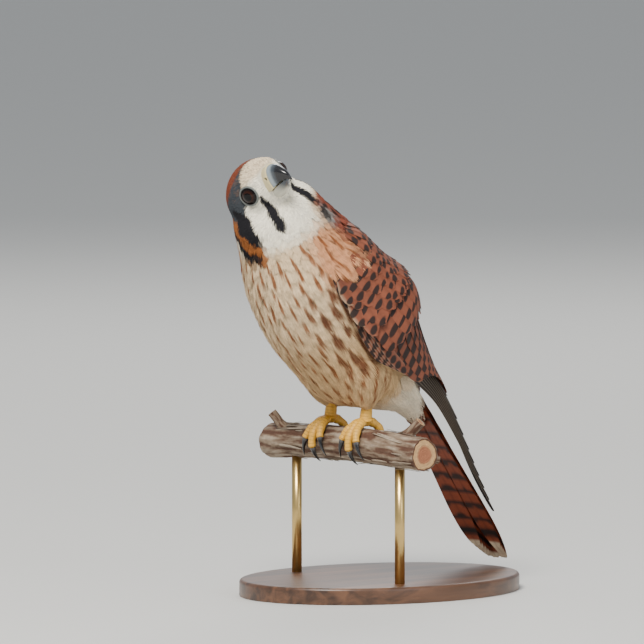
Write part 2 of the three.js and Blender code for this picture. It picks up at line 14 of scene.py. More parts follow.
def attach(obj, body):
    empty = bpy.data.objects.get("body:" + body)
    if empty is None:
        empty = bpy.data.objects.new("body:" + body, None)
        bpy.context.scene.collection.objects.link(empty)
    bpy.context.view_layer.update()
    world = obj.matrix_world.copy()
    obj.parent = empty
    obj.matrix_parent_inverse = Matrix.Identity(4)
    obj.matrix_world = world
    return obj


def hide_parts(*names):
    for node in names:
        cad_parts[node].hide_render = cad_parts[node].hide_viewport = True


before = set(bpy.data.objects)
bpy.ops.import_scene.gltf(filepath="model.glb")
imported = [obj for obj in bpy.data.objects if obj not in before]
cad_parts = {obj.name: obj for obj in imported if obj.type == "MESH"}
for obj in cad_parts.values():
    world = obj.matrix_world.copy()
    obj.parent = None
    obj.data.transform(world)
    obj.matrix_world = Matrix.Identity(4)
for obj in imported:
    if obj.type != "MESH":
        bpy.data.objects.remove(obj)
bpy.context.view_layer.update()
draws = np.random.default_rng(20)
birdAt = np.array([0.0, -20.0, 81.0])  # the branch's top in the model's frame
sides = {"left": 1, "right": -1}
print("frame loaded,", len(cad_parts), "nodes")


# Camera and room

viewFrom = {
    "azimuth": 50,  # degrees, from her left front
    "elevation": 4,
    "distance": 4000,
    "framePixels": 644,
    "pixelsPerMm": 2.1,
    "branchPixel": (348, 425),  # where the branch's top shows
    "sensor": 36,
    "farthest": 60,
}
azimuth, elevation = (math.radians(viewFrom[k]) for k in ("azimuth", "elevation"))
level = math.cos(elevation)
towardsCamera = np.array([math.sin(azimuth) * level, -math.cos(azimuth) * level, math.sin(elevation)])
screenRight = np.array([math.cos(azimuth), math.sin(azimuth), 0.0])
screenUp = np.cross(towardsCamera, screenRight)
room = {
    "floorRadius": 30,
    "floorTone": (0.62, 0.62, 0.6),
    "worldTone": (0.86, 0.9, 0.95),
    "worldStrength": 0.55,
    "lightsAim": (0, -0.02, 0.13),
    # name: place in metres, size, watts, tone
    "lights": {
        "key": ((0.9, -1.4, 1.9), 0.9, 88, (1.0, 0.96, 0.9)),
        "fill": ((2.2, 0.2, 0.9), 1.4, 11, (0.93, 0.96, 1.0)),
        "back": ((-1.4, 1.3, 1.6), 1.2, 22, (1.0, 0.98, 0.95)),
    },
}


def toFrame(points):
    return (np.asarray(points, float) + birdAt) / 1000


def linked(name, data):
    made = bpy.data.objects.new(name, data)
    bpy.context.scene.collection.objects.link(made)
    return made


def makeCamera():
    half = viewFrom["framePixels"] / 2
    acrossPixels, downPixels = viewFrom["branchPixel"]
    centre = screenRight * (half - acrossPixels) + screenUp * (downPixels - half)
    centre = centre / viewFrom["pixelsPerMm"]
    lens = bpy.data.cameras.new("camera")
    lens.sensor_width = viewFrom["sensor"]
    shownWidth = viewFrom["framePixels"] / viewFrom["pixelsPerMm"]
    lens.lens = viewFrom["sensor"] * viewFrom["distance"] / shownWidth
    lens.clip_end = viewFrom["farthest"]
    camera = linked("camera", lens)
    camera.location = toFrame(centre + towardsCamera * viewFrom["distance"])
    camera.rotation_mode = "QUATERNION"
    camera.rotation_quaternion = Vector(-towardsCamera).to_track_quat("-Z", "Y")
    bpy.context.scene.camera = camera


def makeRoom():
    world = bpy.data.worlds.new("room")
    bpy.context.scene.world = world
    world.use_nodes = True
    sky = world.node_tree.nodes["Background"].inputs
    feed(world.node_tree, sky, {"Color": (*room["worldTone"], 1), "Strength": room["worldStrength"]})
    for name, (place, size, watts, colour) in room["lights"].items():
        lamp = bpy.data.lights.new(name, "AREA")
        lamp.shape, lamp.size, lamp.energy, lamp.color = "DISK", size, watts, colour
        light = linked(name, lamp)
        light.location = place
        aim = Vector(room["lightsAim"]) - Vector(place)
        light.rotation_euler = aim.to_track_quat("-Z", "Y").to_euler()
    bm = bmesh.new()
    bmesh.ops.create_circle(bm, cap_ends=True, radius=room["floorRadius"], segments=64)
    floor = addObject("floor", bm)
    floor.data.materials.append(newMaterial("floor", 0.9, {"Base Color": (*room["floorTone"], 1)})[0])


# Numbers


def unit(vectors):
    return vectors / np.maximum(np.linalg.norm(vectors, axis=-1, keepdims=True), 1e-9)


def ease(x):
    x = np.clip(x, 0, 1)
    return x * x * (3 - 2 * x)


def mix(a, b, share):
    return a + (b - a) * share


def bell(x, width):
    return np.exp(-((x / width) ** 2))


def tone(hexCode):
    # a colour written as it looks on a screen, as the linear numbers that a shader takes
    parts = np.array([int(hexCode[i : i + 2], 16) for i in (0, 2, 4)]) / 255
    return np.where(parts < 0.04045, parts / 12.92, ((parts + 0.055) / 1.055) ** 2.4)


def stations(rows):
    # smooth values along a short table of (position, values...), carried straight on past its ends
    table = np.array(rows, float)
    at, values = table[:, 0], table[:, 1:]
    before = np.maximum(np.arange(len(at)) - 1, 0)
    after = np.minimum(np.arange(len(at)) + 1, len(at) - 1)
    slopes = (values[after] - values[before]) / (at[after] - at[before])[:, None]

    def smooth(where):
        where = np.asarray(where, float)
        inside = np.clip(where, at[0], at[-1])
        i = np.clip(np.searchsorted(at, inside, side="right") - 1, 0, len(at) - 2)
        span = (at[i + 1] - at[i])[..., None]
        t = (inside - at[i])[..., None] / span
        m, n = slopes[i] * span, slopes[i + 1] * span
        rise = values[i + 1] - values[i]
        edge = np.where(t < 0.5, slopes[i], slopes[i + 1]) * (where - inside)[..., None]
        return values[i] + t * (m + t * (3 * rise - 2 * m - n + t * (m + n - 2 * rise))) + edge

    return smooth


def beside(line, where, side, rise):
    # a point beside a line in her middle plane: side along X and rise towards her back
    where = np.asarray(where, float)
    here = line(where)[..., :2]
    along = unit(line(where + 0.01)[..., :2] - line(where - 0.01)[..., :2])
    y = here[..., 0] - rise * along[..., 1]
    z = here[..., 1] + rise * along[..., 0]
    return np.stack(np.broadcast_arrays(side, y, z), -1)


def onLeft(points):
    return np.concatenate([np.abs(points[:, :1]), points[:, 1:]], 1)


# Meshes and their pieces


def packed(values, kind=np.float32):
    return np.asarray(values).astype(kind).ravel()


def addObject(name, source):
    # from a bmesh in metres, or from points in mm and their triangles
    mesh = bpy.data.meshes.new(name)
    if isinstance(source, bmesh.types.BMesh):
        source.to_mesh(mesh)
        source.free()
    else:
        points, triangles = source
        mesh.vertices.add(len(points))
        mesh.vertices.foreach_set("co", packed(toFrame(points)))
        mesh.loops.add(triangles.size)
        mesh.loops.foreach_set("vertex_index", packed(triangles, np.int32))
        mesh.polygons.add(len(triangles))
        mesh.polygons.foreach_set("loop_start", np.arange(0, triangles.size, 3, dtype=np.int32))
        mesh.update(calc_edges=True)
    mesh.polygons.foreach_set("use_smooth", np.ones(len(mesh.polygons), bool))
    return linked(name, mesh)


def paint(piece, tones):
    layer = piece.data.color_attributes.new("tone", "FLOAT_COLOR", "POINT")
    layer.data.foreach_set("color", packed(np.concatenate([tones, np.ones((len(tones), 1))], 1)))


def placeSpots(piece, places):
    layer = piece.data.attributes.new("spot", "FLOAT_VECTOR", "POINT")
    layer.data.foreach_set("vector", packed(places))


def mapCorners(piece, places):
    layer = piece.data.uv_layers.new(name="OFBake")
    corners = np.empty(len(piece.data.loops), np.int32)
    piece.data.loops.foreach_get("vertex_index", corners)
    layer.data.foreach_set("uv", packed(places[corners]))


def sharpenRim(piece, rim):
    edges = np.empty(len(piece.data.edges) * 2, np.int32)
    piece.data.edges.foreach_get("vertices", edges)
    layer = piece.data.attributes.new("sharp_edge", "BOOLEAN", "EDGE")
    layer.data.foreach_set("value", rim[edges.reshape(-1, 2)].all(1))


def finishPiece(piece, slot, material, *replaced):
    piece.data.materials.append(material)
    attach(piece, "root")
    if replaced:
        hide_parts(*replaced)


def closedPiece(name, bm, slot, material, *replaced):
    bmesh.ops.recalc_face_normals(bm, faces=bm.faces)
    finishPiece(addObject(name, bm), slot, material, *replaced)


# Body: one line from the head's middle to the under tail coverts

bodyLine = stations([
    # place, y, z, half width, back, belly
    (0, -52.8, 114.6, 10, 10, 10),
    (0.35, -47.4, 107, 21, 21, 23),
    (0.7, -42.3, 99.8, 23.7, 24.2, 25),
    (1, -38, 93, 26, 27, 26.5),
    (2, -27, 77, 31, 32, 32.5),
    (3, -14, 62, 32.5, 32.5, 36),
    (4, -1, 47.5, 31.5, 32, 35),
    (5, 11.3, 34.5, 28, 27, 32.5),
    (6, 23.5, 23, 20, 18.5, 21),
    (7, 36, 11.5, 11.5, 9, 10),
    (8, 47, -3, 4, 2.5, 3),
])
bodyEnd = 8
headTurns = {"yaw": 68, "pitch": 25, "roll": 39}  # degrees: to her left, beak up, right ear down
headCentre = np.array([0, -52.8, 114.6])
headTurn = np.array(
    Matrix.Rotation(math.radians(headTurns["yaw"]), 3, "Z")
    @ Matrix.Rotation(-math.radians(headTurns["pitch"]), 3, "X")
    @ Matrix.Rotation(-math.radians(headTurns["roll"]), 3, "Y")
)
headFront, headBack = 19, 21.3
headShape = stations([
    # y, half width, crown, throat
    (-20, 12.6, 13, 11.8),
    (-14, 13.8, 14.4, 13.6),
    (-6, 14.8, 15.2, 14),
    (4, 17.2, 16.4, 15.6),
    (13, 19.4, 16.4, 17.6),
    (21, 19.4, 15.4, 17.6),
])
eye = {
    "radius": 6.4,
    "opening": 4.1,
    "cornea": 0.05,  # rise of its front, as a share
    "corneaFrom": 0.62,
    "lid": 0.57,  # radius of the lids' rim, finer than the solid's
    "beads": 34,
    "bare": 4.7,  # radius that the feathers leave free
}
eyeAxis = unit(np.array([0.88, -0.47, -0.02]))  # of the left eye, in the head's frame
eyeFront = np.array([13, -7.9, 0.8])
eyeCentre = eyeFront - eyeAxis * eye["radius"]
browPlace = np.array([11.6, -8.6, 7])


def inHead(points):
    return np.asarray(points, float) @ headTurn.T + headCentre


def fromHead(points):
    return (np.asarray(points, float) - headCentre) @ headTurn


def headReach(points):
    return np.linalg.norm(points - headCentre, axis=1)


def bump(points, centre, width):
    return np.exp(-((points - centre) ** 2).sum(-1) / (2 * width * width))


def roundForm(bm, around, lengthwise, place):
    # a ball whose vertices go where place(t, angle) puts them, from t 0 at one end to 1 at the other
    made = bmesh.ops.create_uvsphere(bm, u_segments=around, v_segments=lengthwise, radius=1)["verts"]
    ball = np.array([v.co for v in made])
    t = 1 - np.arccos(np.clip(ball[:, 2], -1, 1)) / math.pi
    for vertex, point in zip(made, toFrame(place(t, np.arctan2(ball[:, 0], ball[:, 1])))):
        vertex.co = point


def bodyPoint(place, angle, inset=0):
    _, _, side, back, belly = np.moveaxis(bodyLine(place), -1, 0)
    ring = np.clip(np.sin(math.pi * np.clip(place / bodyEnd, 0, 1)) * 30, 0, 1)
    depth = np.where(np.cos(angle) > 0, back, belly)
    side, depth = np.maximum(side - inset, 0.5), np.maximum(depth - inset, 0.5)
    return beside(bodyLine, place, ring * np.sin(angle) * side, ring * np.cos(angle) * depth)


def headPoint(t, angle, inset=0):
    y = (headBack - headFront) / 2 - ((headFront + headBack) / 2 - inset) * np.cos(math.pi * (1 - t))
    ring = np.sin(math.pi * t)
    side, crown, throat = np.moveaxis(headShape(y), -1, 0) - inset
    rise = np.where(np.cos(angle) > 0, crown, throat)
    p = np.stack([np.sin(angle) * side * ring, y, np.cos(angle) * rise * ring], -1)
    swell = 1.2 * bump(onLeft(p), browPlace, 3) - 1.9 * bump(onLeft(p), eyeFront, 4.6)
    return inHead(p + unit(p * [1, 0, 1]) * swell[:, None])


thighLine = stations([
    # place, x, y, z, radius across, radius fore and aft
    (0, 16, -2, 43, 3, 4),
    (0.15, 17, -3.5, 38, 8.5, 9.5),
    (0.4, 17.8, -4.5, 29, 11.5, 13.5),
    (0.72, 15.8, -2, 17.5, 8.2, 9.6),
    (1, 13.3, 0, 9, 4, 4.4),
])
thighTop, thighLength = 43, 34


def thighPoint(side, t, angle, inset):
    x, y, z, across, fore = np.moveaxis(thighLine(1 - t), -1, 0)
    ring = np.clip(np.sin(math.pi * t) * 6, 0, 1)
    across, fore = np.maximum(across - inset, 0.6), np.maximum(fore - inset, 0.6)
    return np.stack([side * (x + np.sin(angle) * ring * across), y + np.cos(angle) * ring * fore, z], -1)


# Wings: along is the distance down the folded wing, and angle goes from the back's middle to the belly

wingLine = stations([
    # along, y, z, half width, back
    (0, -37, 89.5, 25, 24),
    (13, -28.7, 79.5, 33, 28.5),
    (34, -15.4, 63, 36, 33),
    (54, -1, 48, 38.5, 37),
    (73, 12.3, 35.5, 32.5, 28.5),
    (90, 25.6, 24, 26, 20.5),
    (110, 40.5, 11.3, 20, 14.5),
    (134, 56, -9, 15.5, 11),
    (158, 69.5, -29, 12.5, 9),
    (182, 83, -49, 11, 7.5),
])
wingEnd = 182
wingEdge = stations([
    # along, lower edge's angle, upper edge's angle
    (0, 92, 18),
    (12, 104, 12),
    (34, 109, 9),
    (55, 114, 9),
    (75, 114, 9),
    (95, 106, 10),
    (120, 86, 12),
    (150, 66, 10),
    (182, 50, 12),
])
wingSquareness = 0.85


def squared(x):
    return np.sign(x) * np.abs(x) ** wingSquareness


def wingPoint(side, along, angle, depth):
    _, _, half, back = np.moveaxis(wingLine(along), -1, 0)
    turn = np.radians(angle)
    out, rise = squared(np.sin(turn)) * (half - depth), squared(np.cos(turn)) * (back - depth)
    return beside(wingLine, along, side * out, rise)


# Vanes: closed thin forms of two grids that share their rim


def lensFaces(across, lengthwise):
    # a vane's triangles, and which of its vertices are on the rim
    row = across + 1
    top = np.arange(row * (lengthwise + 1)).reshape(lengthwise + 1, row)
    under = top.copy()
    inner = (lengthwise - 1) * (across - 1)
    under[1:-1, 1:-1] = top.size + np.arange(inner).reshape(lengthwise - 1, across - 1)

    # the diagonals run towards the middle, so that no triangle lies wholly on the rim
    low, left = np.arange(lengthwise) < lengthwise / 2, np.arange(across) < across / 2
    straight = (low[:, None] == left[None])[..., None]

    def split(grid):
        a, b, c, d = grid[:-1, :-1], grid[:-1, 1:], grid[1:, 1:], grid[1:, :-1]
        one, other = np.stack([a, b, c, a, c, d], -1), np.stack([a, b, d, b, c, d], -1)
        return np.where(straight, one, other).reshape(-1, 3)

    rim = np.ones(top.size + inner, bool)
    rim[top[1:-1, 1:-1].ravel()] = False
    rim[top.size :] = False
    return np.concatenate([split(top), split(under)[:, ::-1]]), rim


def lensPoints(upper, lower):
    # (n, lengthwise + 1, across + 1, 3) grids as each vane's own list of vertices
    n = len(upper)
    return np.concatenate([upper.reshape(n, -1, 3), lower[:, 1:-1, 1:-1].reshape(n, -1, 3)], 1)


def lensPlaces(across, lengthwise):
    # q across and t along for each of a vane's vertices
    grids = np.meshgrid(np.linspace(-1, 1, across + 1), np.linspace(0, 1, lengthwise + 1))
    return [np.concatenate([grid.ravel(), grid[1:-1, 1:-1].ravel()]) for grid in grids]


def vaneRow(upper, lower, grid):
    faces, rim = lensFaces(*grid)
    q, t = lensPlaces(*grid)
    return {"points": lensPoints(upper, lower), "faces": faces, "rim": rim, "q": q, "t": t}


def joined(points, faces):
    # many like meshes as one, faces outwards: points (n, vertices, 3) and the faces of one of them
    n, each = points.shape[:2]
    a, b, c = (points[:, faces[:, k]] for k in range(3))
    if (np.cross(a, b) * c).sum() < 0:
        faces = faces[:, ::-1]
    return points.reshape(-1, 3), (faces[None] + (np.arange(n) * each)[:, None, None]).reshape(-1, 3)


def featherPiece(name, slot, material, rows, *replaced):
    # one piece from rows of like feathers, each with its points, faces, rim, tones, map and any spots
    parts = [joined(row["points"], row["faces"]) for row in rows]
    starts = np.cumsum([0] + [len(points) for points, _ in parts])
    faces = np.concatenate([faces + start for (_, faces), start in zip(parts, starts)])
    piece = addObject(name, (np.concatenate([points for points, _ in parts]), faces))

    def whole(key):
        return np.concatenate([row[key].reshape(-1, row[key].shape[-1]) for row in rows])

    sharpenRim(piece, np.concatenate([np.tile(row["rim"], len(row["points"])) for row in rows]))
    paint(piece, whole("tones"))
    mapCorners(piece, whole("map"))
    if "spots" in rows[0]:
        placeSpots(piece, whole("spots"))
    finishPiece(piece, slot, material, *replaced)
    print(name, sum(len(row["points"]) for row in rows), "feathers,", len(faces), "triangles")


# Skin: body, head, thighs and the wings' arms run into one surface, under the coat by its depth

skin = {
    "bodyInset": 2.4,
    "headInset": 0.9,
    "thighInset": 2.2,
    "voxel": 0.0011,  # this and the reaches are in metres
    "neckPlace": 0.45,  # on the body's line
    "neckReach": 0.034,
    "neckSmoothing": 26,  # within the neck's reach, and clear of the face's
    "facePlace": (0, -22, -1),  # in the head's frame
    "faceReach": 0.019,
    "allSmoothing": 3,
}
arm = {"from": 10.5, "to": 84, "across": 24, "lengthwise": 40, "depth": 1.2, "deeper": 4.2, "thick": 7}


def armForm(side):
    # a flat form inside the wing, rounded at its edges
    across, lengthwise = arm["across"], arm["lengthwise"]
    q, t = np.meshgrid(np.linspace(0, 1, across + 1), np.linspace(0, 1, lengthwise + 1))
    along = mix(arm["from"], arm["to"], t)
    low, high = np.moveaxis(wingEdge(along), -1, 0)
    inset = np.clip(np.minimum.reduce([q, 1 - q, t * 0.8, (1 - t) * 0.5]) / 0.12, 0, 1)
    rounded = np.sqrt(1 - (1 - inset) ** 2)
    top = mix(0, arm["deeper"], ease((along - 12) / 50)) + arm["depth"]
    bottom = top + arm["thick"]
    half = np.maximum(0.1, (bottom - top) / 2 * rounded)
    angle = mix(high + 1, low - 1, q)
    grids = [wingPoint(side, along, angle, (top + bottom) / 2 - face * half)[None] for face in (1, -1)]
    return joined(lensPoints(*grids), lensFaces(across, lengthwise)[0])


def makeSkin():
    bm = bmesh.new()
    roundForm(bm, 72, 64, lambda t, angle: bodyPoint(bodyEnd * (1 - t) ** 1.4, angle, skin["bodyInset"]))
    roundForm(bm, 72, 60, lambda t, angle: headPoint(t, angle, skin["headInset"]))
    for side in sides.values():
        roundForm(bm, 32, 24, lambda t, angle: thighPoint(side, t, angle, skin["thighInset"]))
    for side in sides.values():
        points, faces = armForm(side)
        made = [bm.verts.new(p) for p in toFrame(points)]
        for corners in faces:
            bm.faces.new([made[i] for i in corners])
    bmesh.ops.recalc_face_normals(bm, faces=bm.faces)
    rough = addObject("rough", bm)
    remesh = rough.modifiers.new("remesh", "REMESH")
    remesh.mode, remesh.voxel_size = "VOXEL", skin["voxel"]
    whole = bmesh.new()
    whole.from_object(rough, bpy.context.evaluated_depsgraph_get())
    bpy.data.objects.remove(rough)

    neck = toFrame(beside(bodyLine, skin["neckPlace"], 0, 0))
    face = toFrame(inHead(skin["facePlace"]))
    nape = [
        v
        for v in whole.verts
        if np.linalg.norm(np.array(v.co) - neck) < skin["neckReach"]
        and np.linalg.norm(np.array(v.co) - face) > skin["faceReach"]
    ]
    axes = {"use_axis_x": True, "use_axis_y": True, "use_axis_z": True}
    for vertices, rounds in ((nape, skin["neckSmoothing"]), (whole.verts[:], skin["allSmoothing"])):
        for _ in range(rounds):
            bmesh.ops.smooth_vert(whole, verts=vertices, factor=0.5, **axes)
    bmesh.ops.triangulate(whole, faces=whole.faces)
    return addObject("skin", whole)


class Surface:
    # the skin as a place to lay feathers: where it is, and its outward direction there

    def __init__(self, piece):
        mesh = piece.data
        self.points = np.array([v.co for v in mesh.vertices]) * 1000 - birdAt
        normals = np.array([v.normal for v in mesh.vertices])
        self.corners = np.array([p.vertices[:] for p in mesh.polygons])
        self.tree = BVHTree.FromPolygons(self.points.tolist(), self.corners.tolist())
        self.flat = unit(normals[self.corners].mean(1))

    def nearest(self, points):
        found = [self.tree.find_nearest(p) for p in points.reshape(-1, 3).tolist()]
        at = np.array([f[0] for f in found])
        facing = self.flat[np.array([f[2] for f in found])]
        return at.reshape(points.shape), facing.reshape(points.shape)

    def scatter(self, density, spacing, keep):
        # roots drawn over the skin: density is draws in a square mm, spacing the least distance between two
        a, b, c = (self.points[self.corners[:, i]] for i in range(3))
        area = np.linalg.norm(np.cross(b - a, c - a), axis=1) / 2
        count = int(area.sum() * density)
        chosen = draws.choice(len(area), count, p=area / area.sum())
        u, v = np.sqrt(draws.random(count))[:, None], draws.random(count)[:, None]
        roots = a[chosen] * (1 - u) + b[chosen] * (u * (1 - v)) + c[chosen] * (u * v)
        facing = self.flat[chosen]
        wanted = keep(roots)
        roots, facing = roots[wanted], facing[wanted]
        apart = spacing(roots)
        keys = np.floor(roots / float(apart.max())).astype(int)
        steps = [(dx, dy, dz) for dx in (-1, 0, 1) for dy in (-1, 0, 1) for dz in (-1, 0, 1)]
        cells, kept = {}, []
        for i, (x, y, z) in enumerate(keys):
            near = [j for dx, dy, dz in steps for j in cells.get((x + dx, y + dy, z + dz), ())]
            if near and ((roots[near] - roots[i]) ** 2).sum(1).min() < apart[i] ** 2:
                continue
            cells.setdefault((x, y, z), []).append(i)
            kept.append(i)
        return roots[kept], facing[kept]


# Where a point lies on her, and what colour she is there


def alongLine(line, end, points, steps=400):
    # nearest place on a line, and the angle about it from the back's middle, in degrees
    places = np.linspace(0, end, steps)
    centres = line(places)[:, :2]
    tangents = unit(line(places + 0.01)[:, :2] - line(places - 0.01)[:, :2])
    distance = ((points[:, None, 1:] - centres[None]) ** 2).sum(-1)
    i = distance.argmin(1)
    offset = points[:, 1:] - centres[i]
    rise = -offset[:, 0] * tangents[i, 1] + offset[:, 1] * tangents[i, 0]
    return places[i], np.degrees(np.arctan2(points[:, 0], rise)), tangents[i]


def bodyPlace(points):
    place, angle, _ = alongLine(bodyLine, bodyEnd, points)
    return place, np.abs(angle)


def shoulderStart(lane, front, lower):
    # the wing's front lies at one place over her back, and under her breast's feathers further down
    return mix(front, lower, ease((lane - 0.35) / 0.3))


def inWing(points, margin=0.06):
    along, angle, _ = alongLine(wingLine, wingEnd, points)
    low, high = np.moveaxis(wingEdge(along), -1, 0)
    lane = (np.abs(angle) - high) / (low - high)
    covered = (along > shoulderStart(lane, 13, 21)) & (along < 150)
    return covered & (lane > margin) & (lane < 1 - margin)


plumageCodes = {
    "white": "efe8d4", "cream": "d6bd98", "buff": "c09a69", "peach": "c68e66",
    "streak": "7c4422", "blotch": "5a2b15",
    "slate": "373b40", "crown": "703520", "forehead": "dac7a8", "foreheadStreak": "6f5546",
    "black": "17161a", "nape": "8e5428", "napeTuft": "83837f", "napeBuff": "96603e",
    "mantle": "854534", "mantleBar": "231c1b",
    "wing": "824934", "wingSpot": "231c1a", "wingEdge": "b59f82",
    "primary": "2b2422", "primaryEdge": "a08f7c",
    "tail": "8c4328", "tailBar": "1d1716", "tailTip": "dccbb0",
    "lid": "646966", "lidRim": "2b2725", "pupil": "050405", "iris": "2e150b", "irisRim": "190b07",
    "cere": "cdbf92", "nostril": "2a1a12",
    "hornBase": "8d999f", "hornUnder": "c4c1b2", "horn": "3f464d", "hornTip": "121216",
    "leg": "dba63c", "legGroove": "8a5a1c", "clawBase": "4b4a4b", "claw": "0e0e11",
    "bark": "84725f", "barkPale": "ab9c89", "barkInner": "55392a", "wood": "c79f6f", "heart": "a4694a",
    "standGrain": "3a261a", "standWood": "6d4a33", "brass": "d8b877",
}
plumage = {name: tone(code) for name, code in plumageCodes.items()}

# Marks of the head, as strokes over its left side in the head's frame. They are read by direction from
# the head's middle, so that they carry on down the neck.
headMarks = {
    # name: softness of the edge, then places in mm and half widths
    "malar": (1.6, [
        (10.2, -11.2, -4.4, 1.5), (9.6, -9.4, -10, 2.4), (10.6, -9.2, -15.5, 2.8),
        (12.2, -9.3, -21, 2.4), (13, -8.4, -24, 0.9),
    ]),
    "ear": (1.2, [
        (17, 5.5, 0, 2.4), (19, 3, -7, 2.9), (22, 2, -12, 2.7),
        (23, 1.8, -17.6, 2.4), (23.7, 2.9, -23.2, 0.8),
    ]),
    "earLobe": (1.2, [(20, 6, -5, 2.2), (23.4, 7.4, -10.2, 1)]),
    "nape": (1.6, [(19, 15, -3, 2.6), (23.5, 10, -11, 3.4), (25, 8.6, -18, 4.2), (25.4, 8.4, -24, 3.4)]),
    "napeRim": (1.1, [
        (20, 18, -4, 1), (23.7, 15.5, -9.9, 1.2), (25, 17, -15.2, 1.2),
        (27.3, 15, -22.8, 1), (26.8, 10.5, -28, 0.8),
    ]),
    "underEye": (4, [(16.5, -5, -5, 2), (13.5, -8, -9, 2.4)]),
}
strokeRadius = 20  # widths are as seen on a ball of this radius
slateFront = stations([
    # z of the direction, y where the slate begins
    (-0.5, 0.16),
    (-0.3, 0.02),
    (-0.1, -0.16),
    (0.1, -0.36),
    (0.4, -0.54),
    (0.7, -0.54),
    (1, -0.48),
])
waves = unit(np.array([(1, 0.4, 0.2), (-0.3, 1, 0.5), (0.2, -0.5, 1), (0.8, 0.7, -0.6)]))


def strokeMask(directions, name):
    soft, stroke = headMarks[name]
    stroke = np.array(stroke)
    places, widths = unit(stroke[:, :3]) * strokeRadius, stroke[:, 3]
    best = np.full(len(directions), -9.0)
    for a, b, wide, narrow in zip(places[:-1], places[1:], widths[:-1], widths[1:]):
        t = np.clip(((directions * strokeRadius - a) @ (b - a)) / ((b - a) @ (b - a)), 0, 1)
        away = np.linalg.norm(directions * strokeRadius - a - t[:, None] * (b - a), axis=1)
        best = np.maximum(best, mix(wide, narrow, t) - away)
    return ease(best / soft + 0.5)


def wobble(points, scale, seed=0.0):
    # smooth unevenness from about -1 to 1, from a few crossing waves
    total = 0
    for k, direction in enumerate(waves):
        total = total + np.sin(points @ direction / scale * (1.3 + 0.5 * k) + seed + 2 * k)
    return total / len(waves)


def markings(points):
    # her colour at each point, and how strongly a feather there is streaked and barred
    place, angle = bodyPlace(points)
    local = fromHead(points)
    reach = np.linalg.norm(local, axis=1)
    direction = onLeft(unit(local + 0.5 * np.stack([wobble(points, 2.2, s) for s in (0, 2, 4)], 1)))
    x, y, z = direction.T
    tones = np.repeat(plumage["cream"][None], len(points), 0)

    def lay(name, mask):
        nonlocal tones
        tones = mix(tones, plumage[name], np.clip(mask, 0, 1)[:, None])

    # body: pale in front, peach at the sides of the breast, rufous over the back
    uneven = wobble(points, 3)
    lay("buff", ease((place - 2.2) / 2) * 0.7)
    lay("white", ease((place - 5.8) / 0.8) * 0.7)
    lay("peach", ease(1 - np.abs(place - 1.7) / 1.3) * ease(1 - np.abs(angle - 84) / 42) * 1.9)
    lay("white", ease((1.02 + 0.05 * uneven - place) / 0.25) * ease((angle - 66) / 16))
    back = ease((72 - 6 * uneven - angle) / 14) * ease((place - 0.35) / 0.3) * ease((reach - 20) / 5)
    lay("mantle", back)
    atTuft = ease(1.5 - np.abs(place - 0.92) / 0.22) * ease(1.5 - np.abs(angle - 58) / 11)
    lay("napeTuft", 0.9 * atTuft)

    # head: slate with a rufous crown, over a white face
    onHead = ease((27 - reach) / 6)
    onNeck = ease((47 - reach) / 5) * np.maximum(ease((angle - 20) / 25), ease((29 - reach) / 4))
    lay("white", onHead * (1 - back))
    lay("napeBuff", ease((reach - 21) / 4) * ease((y - 0.58) / 0.16) * ease((50 - reach) / 10))
    lay("forehead", onHead * ease((0.15 - y) / 0.3) * ease((z - 0.22) / 0.2))
    lay("slate", ease((31 - reach) / 5) * ease((y - slateFront(z)[:, 0]) / 0.12) * ease((z + 0.42) / 0.12))
    crown = (x / 0.86) ** 2 + ((y - 0.3) / 0.72) ** 2
    lay("crown", onHead * ease((1.05 - crown) / 0.16) * ease((z - 0.1) / 0.1))

    # the marks of the face and the nape
    nape = onNeck * ease((39 - reach) / 3) * strokeMask(direction, "nape")
    napeRim = onNeck * ease((41.5 - reach) / 2) * strokeMask(direction, "napeRim")
    lay("nape", nape)
    lay("black", napeRim)
    lay("black", onNeck * strokeMask(direction, "ear"))
    lay("black", onNeck * strokeMask(direction, "earLobe"))
    lay("slate", 0.35 * onHead * strokeMask(direction, "underEye"))
    lay("black", onNeck * strokeMask(direction, "malar"))
    streaked = ease((place - 0.9) / 0.3) * (1 - ease((place - 5) / 0.8)) * ease((angle - 62) / 14)
    streaked = streaked * (1 - np.maximum(nape, napeRim))
    barred = back * ease((place - 0.4) / 0.3)
    return tones, streaked, barred


# Coat of the head, body and thighs: each feather starts at a root on the skin and follows its lie

coat = {
    # reach is the distance from the head's middle, where the small vanes of the head end, and shownAt
    # the share of a feather's length at which its colour is read
    "head": {
        "reach": 25,
        "density": 14,
        "spacing": 0.5,
        "grid": (2, 3),
        "outline": ([0, 0.35, 0.7, 1], [0.6, 1, 0.9, 0.16]),
        "shownAt": 0.7,
        "length": 5.4,
        "width": 1.5,
        "lift": (0.28, 0.68),
        "browStreaks": {"chance": 0.26, "strength": 0.38},
    },
    "plume": {
        "density": 0.9,
        "blades": 32,
        "steps": np.array([0, 0.4, 0.72, 1]),
        "shownAt": 0.75,
        "bars": {"chance": 0.42, "strength": 0.85},
        "scalesWithin": 60,  # degrees from the back's middle, where plumes leave off
    },
    "streak": {"density": 0.3, "spacing": 5.8, "long": (4.4, 5.2), "wide": (1.0, 2.3)},
    "scale": {
        "density": 0.8,
        "spacing": 3.5,
        "grid": (4, 6),
        "outline": ([0, 0.3, 0.6, 0.8, 0.93, 1], [0.45, 0.9, 1, 0.86, 0.5, 0.1]),
        "size": {"length": 12, "width": 8, "lift": 1.1},
        "spots": (2.4, 5, 1.05, 1.1, 0.3),
    },
    "mostTriangles": 190000,  # in one piece
}
plumeSize = stations([
    # reach from the head's middle, spacing, length, width, lift
    (20, 1.15, 5, 2.2, 0.7),
    (30, 1.8, 7.5, 3.4, 1.0),
    (42, 3.0, 11.5, 5.4, 1.6),
    (70, 3.7, 15, 7.4, 2.0),
    (130, 3.7, 15, 7.4, 1.8),
])
